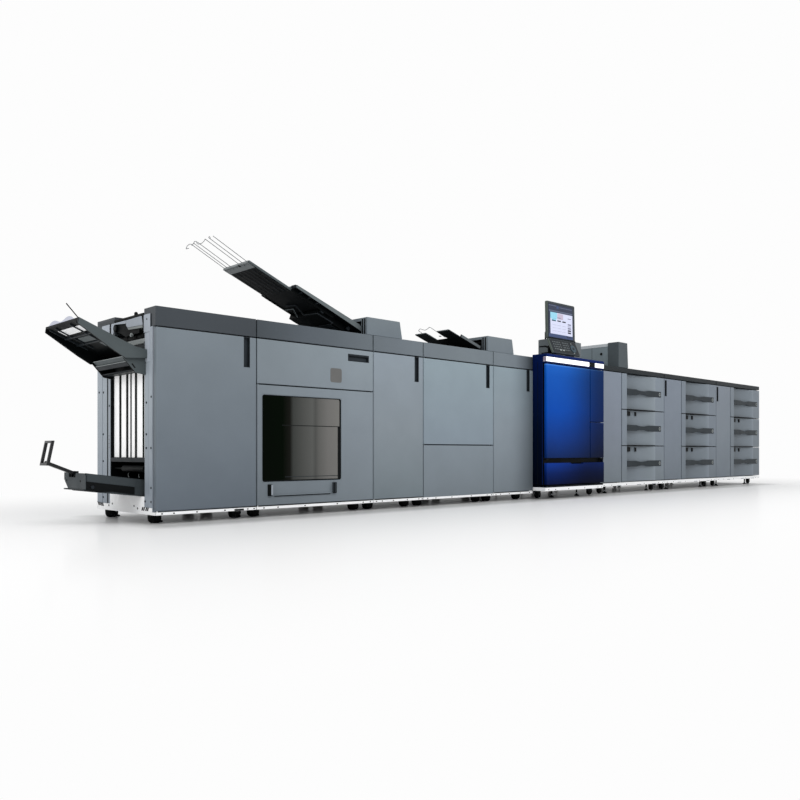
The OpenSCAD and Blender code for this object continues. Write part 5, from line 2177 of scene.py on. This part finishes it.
@dataclass
class FeederRow:
    """The three feeders with their shared top plates and the tower."""

    first_x: float = 3850.0
    pitch: float = 1055.0

    def build(self) -> None:
        """Makes the feeders, the plates on them and the tower."""
        # The doors and drawers lighten towards the top: painted light.
        coats = (
            (("#6d767d", "#747c88", "#78818e"), ("#6f787f", "#737c86", "#78828c"), "first"),
            (("#68717a", "#6f7883", "#747d89"), ("#69727a", "#6d7680", "#717a84"), "second"),
            (("#68717a", "#6f7881", "#747c86"), ("#666f77", "#6b747c", "#707982"), "third"),
        )
        for index, (door, drawer, word) in enumerate(coats):
            door_coat = front_coat(f"{word}_feeder_door_coat", *door, levels=FEEDER_LEVELS)
            drawer_coat = front_coat(f"{word}_feeder_drawer_coat", *drawer, levels=FEEDER_LEVELS)
            PaperFeeder(index + 1, self.first_x + index * self.pitch, door_coat, drawer_coat).build()
        soften(
            "feeder_caps", PaintedSteel("feeder_cap_coat", Slot.COVER, "#22272a", 0.4, 0.08), edge=4,
            steps=3,
        )
        self.make_lids()
        FeederTower().build()

    def make_lids(self) -> None:
        """Makes the lids let into the top plates."""
        bench = Bench("feeder_lids", "line", COVER, BLACK)
        for index in range(3):
            x = self.first_x + index * self.pitch
            left = x + (450 if index == 0 else 40)
            for y0, y1 in ((60, 420), (440, 640)):
                bench.box((left, y0, FEEDER_TOP), (x + 1010, y1, FEEDER_TOP + 2.4), 1.2)
            for y in range(480, 606, 18):
                bench.box((left + 60, y, FEEDER_TOP + 2.3), (x + 940, y + 7, FEEDER_TOP + 3.2), 0.3, 1)
        bench.close()


class Wheel(Enum):
    """What a unit stands on."""

    CUP = "cup"
    FORK = "fork"


@dataclass
class Undercarriage:
    """The white base frames with their casters, feet and docking plates.

    Attributes:
        rows: How far behind the fronts the wheels stand.
    """

    rows: Range = (112.0, 600.0)

    def build(self) -> None:
        """Makes everything under the units."""
        shell = soften("base_frames", WHITE, NAVY, edge=1.2)
        paint(shell, 1, (2940, -125, 69), (3850, 12, 90))
        # The docking plates are black: painted shade in the seams between units.
        soften("dock_plates", BLACK, edge=0.8)
        self.make_marks()
        self.make_wheels()
        self.make_feet()

    def make_marks(self) -> None:
        """Makes the small dark holes and the oblong slots in the white rails."""
        bench = Bench("rail_marks", "line", BLACK, CASE)
        for unit in UNITS:
            front = -108.4 if unit.is_engine else -0.4
            low = 48 if unit.is_finisher else 68
            width = (unit.right - 132 if unit.is_engine else unit.right) - unit.left
            for share in (0.05, 0.16, 0.38, 0.66, 0.9, 0.97):
                x = unit.left + width * share
                bench.box((x, front, low), (x + 9, front + 0.6, low + 6), 0.1)
            if unit.number > ENGINE_NUMBER:
                for share in (0.24, 0.55, 0.8):
                    x = unit.left + width * share
                    bench.box((x, front, 63), (x + 70, front + 0.6, 68), 0.1, 1)
        bench.box((430, -0.6, 45), (486, 0.2, 54), 0.1)
        bench.close()

    def wheel_places(self, kind: Wheel) -> list[tuple[float, float, float, float]]:
        """The places of one kind of caster.

        Args:
            kind: The kind.

        Returns:
            For each its place along and across the line, its top, and how far its foot
            stands from it along the line.
        """
        places = []
        for unit in UNITS:
            if unit.is_finisher != (kind is Wheel.CUP):
                continue
            gaps = (50, 62) if unit.is_finisher else (131, 73) if unit.is_engine else (159, 31)
            step = 178.0 if unit.is_engine else 84.0
            for x, way in ((unit.left + gaps[0], 1), (unit.right - gaps[1], -1)):
                for row, y in enumerate(self.rows):
                    forward = 55.0 if unit.is_engine and row == 0 else 0.0
                    places.append((x, y - forward, unit.heights[0] - 5, step * way))
        return places

    def make_wheels(self) -> None:
        """Makes the caster cups of the finishing units and the forked casters."""
        for kind in Wheel:
            places = self.wheel_places(kind)
            x, y, top, _ = places[0]
            bench = Bench(f"{kind.value}_caster", "line", RUBBER, BLACK, DARK)
            if kind is Wheel.CUP:
                bench.lathe(
                    [
                        (0, 0), (17, 0), (25, 4), (30, 11), (32.4, 19), (33, 26), (33, 38), (30, 43),
                        (22, 44), (0, 44),
                    ],
                    (x, y, 0), Axis.Z, 0, 32,
                )
                bench.rod((x, y, 43), (x, y, top), 14, 0.4, 1)
            else:
                self.fork(bench, x, y, top)
            caster = bench.close()
            moves = [(px - x, py - y, 0.0) for px, py, _, _ in places[1:]]
            scatter(caster, f"{kind.value}_casters", moves, "line")
            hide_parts("casters")

    def fork(self, bench: Bench, x: float, y: float, top: float) -> None:
        """Adds a wheel in its fork.

        Args:
            bench: The piece.
            x: The wheel's middle along the line.
            y: The wheel's middle across it.
            top: Height of the plate that it is fixed to.
        """
        tyre = [
            (0, -8), (15, -8), (16, -12), (25, -12), (30, -9), (32, -4), (32, 4), (30, 9), (25, 12),
            (16, 12), (15, 8), (0, 8),
        ]
        bench.lathe(tyre, (x, y, 32), Axis.Y, 0, 32)
        bench.rod((x, y - 16, 32), (x, y + 16, 32), 6, 0.6, 2, 16)
        outline = [
            (x - 13, 27), (x - 6, 22), (x + 6, 22), (x + 13, 27), (x + 24, 62), (x + 24, 70), (x - 24, 70),
            (x - 24, 62),
        ]
        for near in (y - 15, y + 12):
            bench.plate(outline, Axis.Y, near, near + 3, 0.6, 1)
        bench.box((x - 26, y - 15, 66), (x + 26, y + 15, 71), 1.0, 1)
        bench.rod((x, y, 70), (x, y, top - 4), 17, 1.0, 1, 24)
        bench.box((x - 30, y - 24, top - 4), (x + 30, y + 24, top), 0.8, 2)

    def make_feet(self) -> None:
        """Makes the levelling feet: pad, stem and lock nut."""
        for kind, name in ((Wheel.CUP, "levelling_feet_low"), (Wheel.FORK, "levelling_feet_high")):
            places = [
                (x + 45, y + 45) if kind is Wheel.CUP else (x + step, y)
                for x, y, _, step in self.wheel_places(kind)
            ]
            top = 53.0 if kind is Wheel.CUP else 83.0
            x, y = places[0]
            bench = Bench(f"{name}_foot", "line", BLACK, BRIGHT)
            bench.lathe(
                [(0, 0), (19, 0), (20, 2), (19, 5), (12, 8), (8, 12), (0, 12)], (x, y, 0), Axis.Z, 0, 28
            )
            bench.rod((x, y, 10), (x, y, top), 6, 0.2, 0, 16)
            bench.rod((x, y, 18), (x, y, 25), 10.5, 0.8, 1, 6)
            foot = bench.close()
            scatter(foot, name, [(px - x, py - y, 0.0) for px, py in places[1:]], "line")
            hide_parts("levelling_feet")


@dataclass
class RearPanels:
    """The fittings in the recessed back of every unit: louvres, sockets, fans, screws."""

    face: float = 661.0
    lip: float = 664.6

    def build(self) -> None:
        """Makes the fittings of all units."""
        bench = Bench("rear_fittings", "line", CASE, BLACK, DARK, BRIGHT)
        for unit in UNITS:
            x0, x1 = unit.case_left, unit.right
            z0, z1 = unit.heights
            self.add_louvres(bench, x0, x1, z1)
            bench.box((x0 + 60, self.face - 0.2, z0 + 60), (x0 + 190, self.lip, z0 + 130), 1.0, 2)
            for step in range(3):
                left = x0 + 72 + step * 38
                bench.box((left, self.lip - 1, z0 + 78), (left + 26, self.lip + 0.3, z0 + 112), 1.0, 1)
            for x in (x0 + 30, x1 - 30):
                for z in (z0 + 30, (z0 + z1) / 2, z1 - 30):
                    bench.rod((x, self.face - 0.2, z), (x, self.face + 1.8, z), 4, 0.6, 3, 14)
            if unit.is_engine:
                for x in (x0 + 250, x0 + 640):
                    self.add_fan(bench, x, 430)
        bench.close()

    def add_louvres(self, bench: Bench, x0: float, x1: float, z1: float) -> None:
        """Adds a bank of louvres near the top of a back.

        Args:
            bench: The piece.
            x0: Left side of the unit's case.
            x1: Its right side.
            z1: Its top.
        """
        for row in range(8):
            z = z1 - 90 - row * 16
            outline = [(self.face - 0.2, z), (self.lip, z + 1), (self.lip, z + 4), (self.face - 0.2, z + 9)]
            bench.plate(outline, Axis.X, x0 + 90, x1 - 90, 0.4)

    def add_fan(self, bench: Bench, x: float, z: float) -> None:
        """Adds a round fan guard of rings and spokes.

        Args:
            bench: The piece.
            x: The fan's middle along the line.
            z: The height of its middle.
        """
        bench.rod((x, self.face - 0.2, z), (x, self.face + 0.6, z), 74, 0.2, 1, 48)
        for radius in (22, 40, 58, 74):
            inner, outer = circle(x, z, radius - 2, 40), circle(x, z, radius + 2, 40)
            bench.ring(inner, outer, Axis.Y, self.face + 0.6, self.lip, 0.4, 3)
        for dx, dz in ((74, 2), (2, 74)):
            bench.box((x - dx, self.face + 0.8, z - dz), (x + dx, self.lip - 0.8, z + dz), 0.4, 3)


@dataclass(frozen=True)
class ResinFloor(Finish):
    """A pale resin floor, polished.

    The clear coat gives faint mirror images of what stands on it. Next to the press the
    floor is darkened, a painted shadow, and away from the press the evenly lit floor runs
    into the pale surroundings.

    Attributes:
        near: Where the fading starts, in metres from the press.
        far: Where it ends.
    """

    near: float = 0.05
    far: float = 2.6

    def dress(self, tree: Tree, shader: Node, place: Output) -> None:
        """Adds the mirror coat, the painted shadow next to the press and the fading.

        Args:
            tree: The material's tree.
            shader: The principled shader.
            place: The texture coordinates.
        """
        mirror = add_node(tree, "ShaderNodeBsdfAnisotropic", {"Color": srgb("#f4f5f6"), "Roughness": 0.16})
        coated = add_node(tree, "ShaderNodeMixShader", {0: 0.16}, {1: (shader, "BSDF"), 2: (mirror, "BSDF")})
        centre = add_node(tree, "ShaderNodeMapping", {"Location": -at(3507, 300, 0)}, {"Vector": place})
        away = add_node(tree, "ShaderNodeVectorMath", {"operation": "ABSOLUTE"}, {0: (centre, "Vector")})
        past = add_node(
            tree, "ShaderNodeVectorMath", {"operation": "SUBTRACT", 1: (3.5, 0.4, 0.0)}, {0: (away, "Vector")}
        )
        outside = add_node(tree, "ShaderNodeVectorMath", {"operation": "MAXIMUM"}, {0: (past, "Vector")})
        gap = add_node(tree, "ShaderNodeVectorMath", {"operation": "LENGTH"}, {0: (outside, "Vector")})
        # Darker next to the press, full colour beyond 0.14 m: painted shadow.
        painted_shade = add_range(tree, (gap, "Value"), (0.0, 0.14), (0.56, 0.94))
        tree.links.new(painted_shade.outputs["Result"], shader.inputs["Base Color"])
        fade = add_range(tree, (gap, "Value"), (self.near, self.far), kind="SMOOTHSTEP")
        pale = add_node(tree, "ShaderNodeEmission", {"Color": srgb("#fdfdfd"), "Strength": 1.0})
        mixed = add_node(
            tree, "ShaderNodeMixShader", {},
            {0: (fade, "Result"), 1: (coated, "Shader"), 2: (pale, "Emission")}
        )
        add_node(tree, "ShaderNodeOutputMaterial", {}, {"Surface": (mixed, "Shader")}).is_active_output = True


@dataclass
class Studio:
    """The floor, the soft lamps, the pale surroundings and the camera."""

    eye: Point = (-5.0469, -3.7705, 0.347)
    heading: float = 43.754
    lens: float = 35.5
    rise: float = 0.0647
    ambient: float = 0.80

    def build(self) -> None:
        """Sets up everything that isn't part of the press."""
        self.make_floor()
        self.make_world()
        self.make_lamps()
        self.make_camera()
        bpy.context.scene.view_settings.view_transform = "Standard"

    def make_floor(self) -> None:
        """Makes the pale polished floor."""
        deselect_all()
        bpy.ops.mesh.primitive_plane_add(size=80, location=(0, 0, 0))
        floor = bpy.context.object
        floor.name = "studio_floor"
        floor.data.materials.append(ResinFloor("polished_resin_floor", Slot.WHITE, "#f8f8f8", 0.5).material())

    def make_world(self) -> None:
        """Makes plain pale surroundings, which the lens and the gloss see as near white."""
        world = bpy.data.worlds.new("studio_world")
        bpy.context.scene.world = world
        world.use_nodes = True
        tree = world.node_tree
        tree.nodes.clear()
        rays = add_node(tree, "ShaderNodeLightPath")
        seen = (rays, "Is Camera Ray")
        for kind in ("Is Glossy Ray", "Is Transmission Ray"):
            either = add_node(tree, "ShaderNodeMath", {"operation": "MAXIMUM"}, {0: seen, 1: (rays, kind)})
            seen = (either, "Value")
        light = add_node(tree, "ShaderNodeBackground", {"Color": srgb("#ffffff"), "Strength": self.ambient})
        pale = add_node(tree, "ShaderNodeBackground", {"Color": srgb("#fdfdfd"), "Strength": 1.0})
        mixed = add_node(
            tree, "ShaderNodeMixShader", {}, {0: seen, 1: (light, "Background"), 2: (pale, "Background")}
        )
        add_node(tree, "ShaderNodeOutputWorld", {}, {"Surface": (mixed, "Shader")})

    def make_lamps(self) -> None:
        """Makes one broad lamp over the front and a weaker one at the left end."""
        for name, place, aim, size, watts in (
            ("front_lamp", (-0.6, -5.5, 5.0), (-0.4, -0.3, 0.6), (7.0, 3.0), 170.0),
            ("end_lamp", (-8.0, -2.0, 3.5), (-3.3, 0.0, 0.7), (3.0, 2.5), 70.0),
        ):
            lamp = bpy.data.lights.new(name, "AREA")
            lamp.shape = "RECTANGLE"
            lamp.size, lamp.size_y = size
            lamp.energy = watts
            stand = bpy.data.objects.new(name, lamp)
            bpy.context.scene.collection.objects.link(stand)
            stand.visible_glossy = False
            stand.location = place
            stand.rotation_euler = (Vector(aim) - Vector(place)).to_track_quat("-Z", "Y").to_euler()

    def make_camera(self) -> None:
        """Places the level camera at the booklet end."""
        lens = bpy.data.cameras.new("main_camera")
        lens.lens = self.lens
        lens.sensor_width = 36.0
        lens.shift_y = self.rise
        camera = bpy.data.objects.new("main_camera", lens)
        bpy.context.scene.collection.objects.link(camera)
        camera.location = self.eye
        camera.rotation_euler = (math.radians(90), 0, math.radians(-self.heading))
        bpy.context.scene.camera = camera


def write_sizes() -> None:
    """Brings the view layer up to date."""
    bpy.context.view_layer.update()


def main() -> None:
    """Builds the press from left to right, then the studio round it."""
    logging.basicConfig(level=logging.INFO, format="%(name)s: %(message)s")
    for part in (
        BookletUnit(),
        UpperTray(),
        Conveyor(),
        Stacker(),
        FinishingRow(),
        ExitTowers(),
        LongTray(),
        SmallTray(),
        PrintEngine(),
        ControlPanel(),
        FeederRow(),
        Undercarriage(),
        RearPanels(),
        Studio(),
    ):
        part.build()
        log.info("built %s", type(part).__name__)
    write_sizes()


if __name__ == "__main__":
    main()
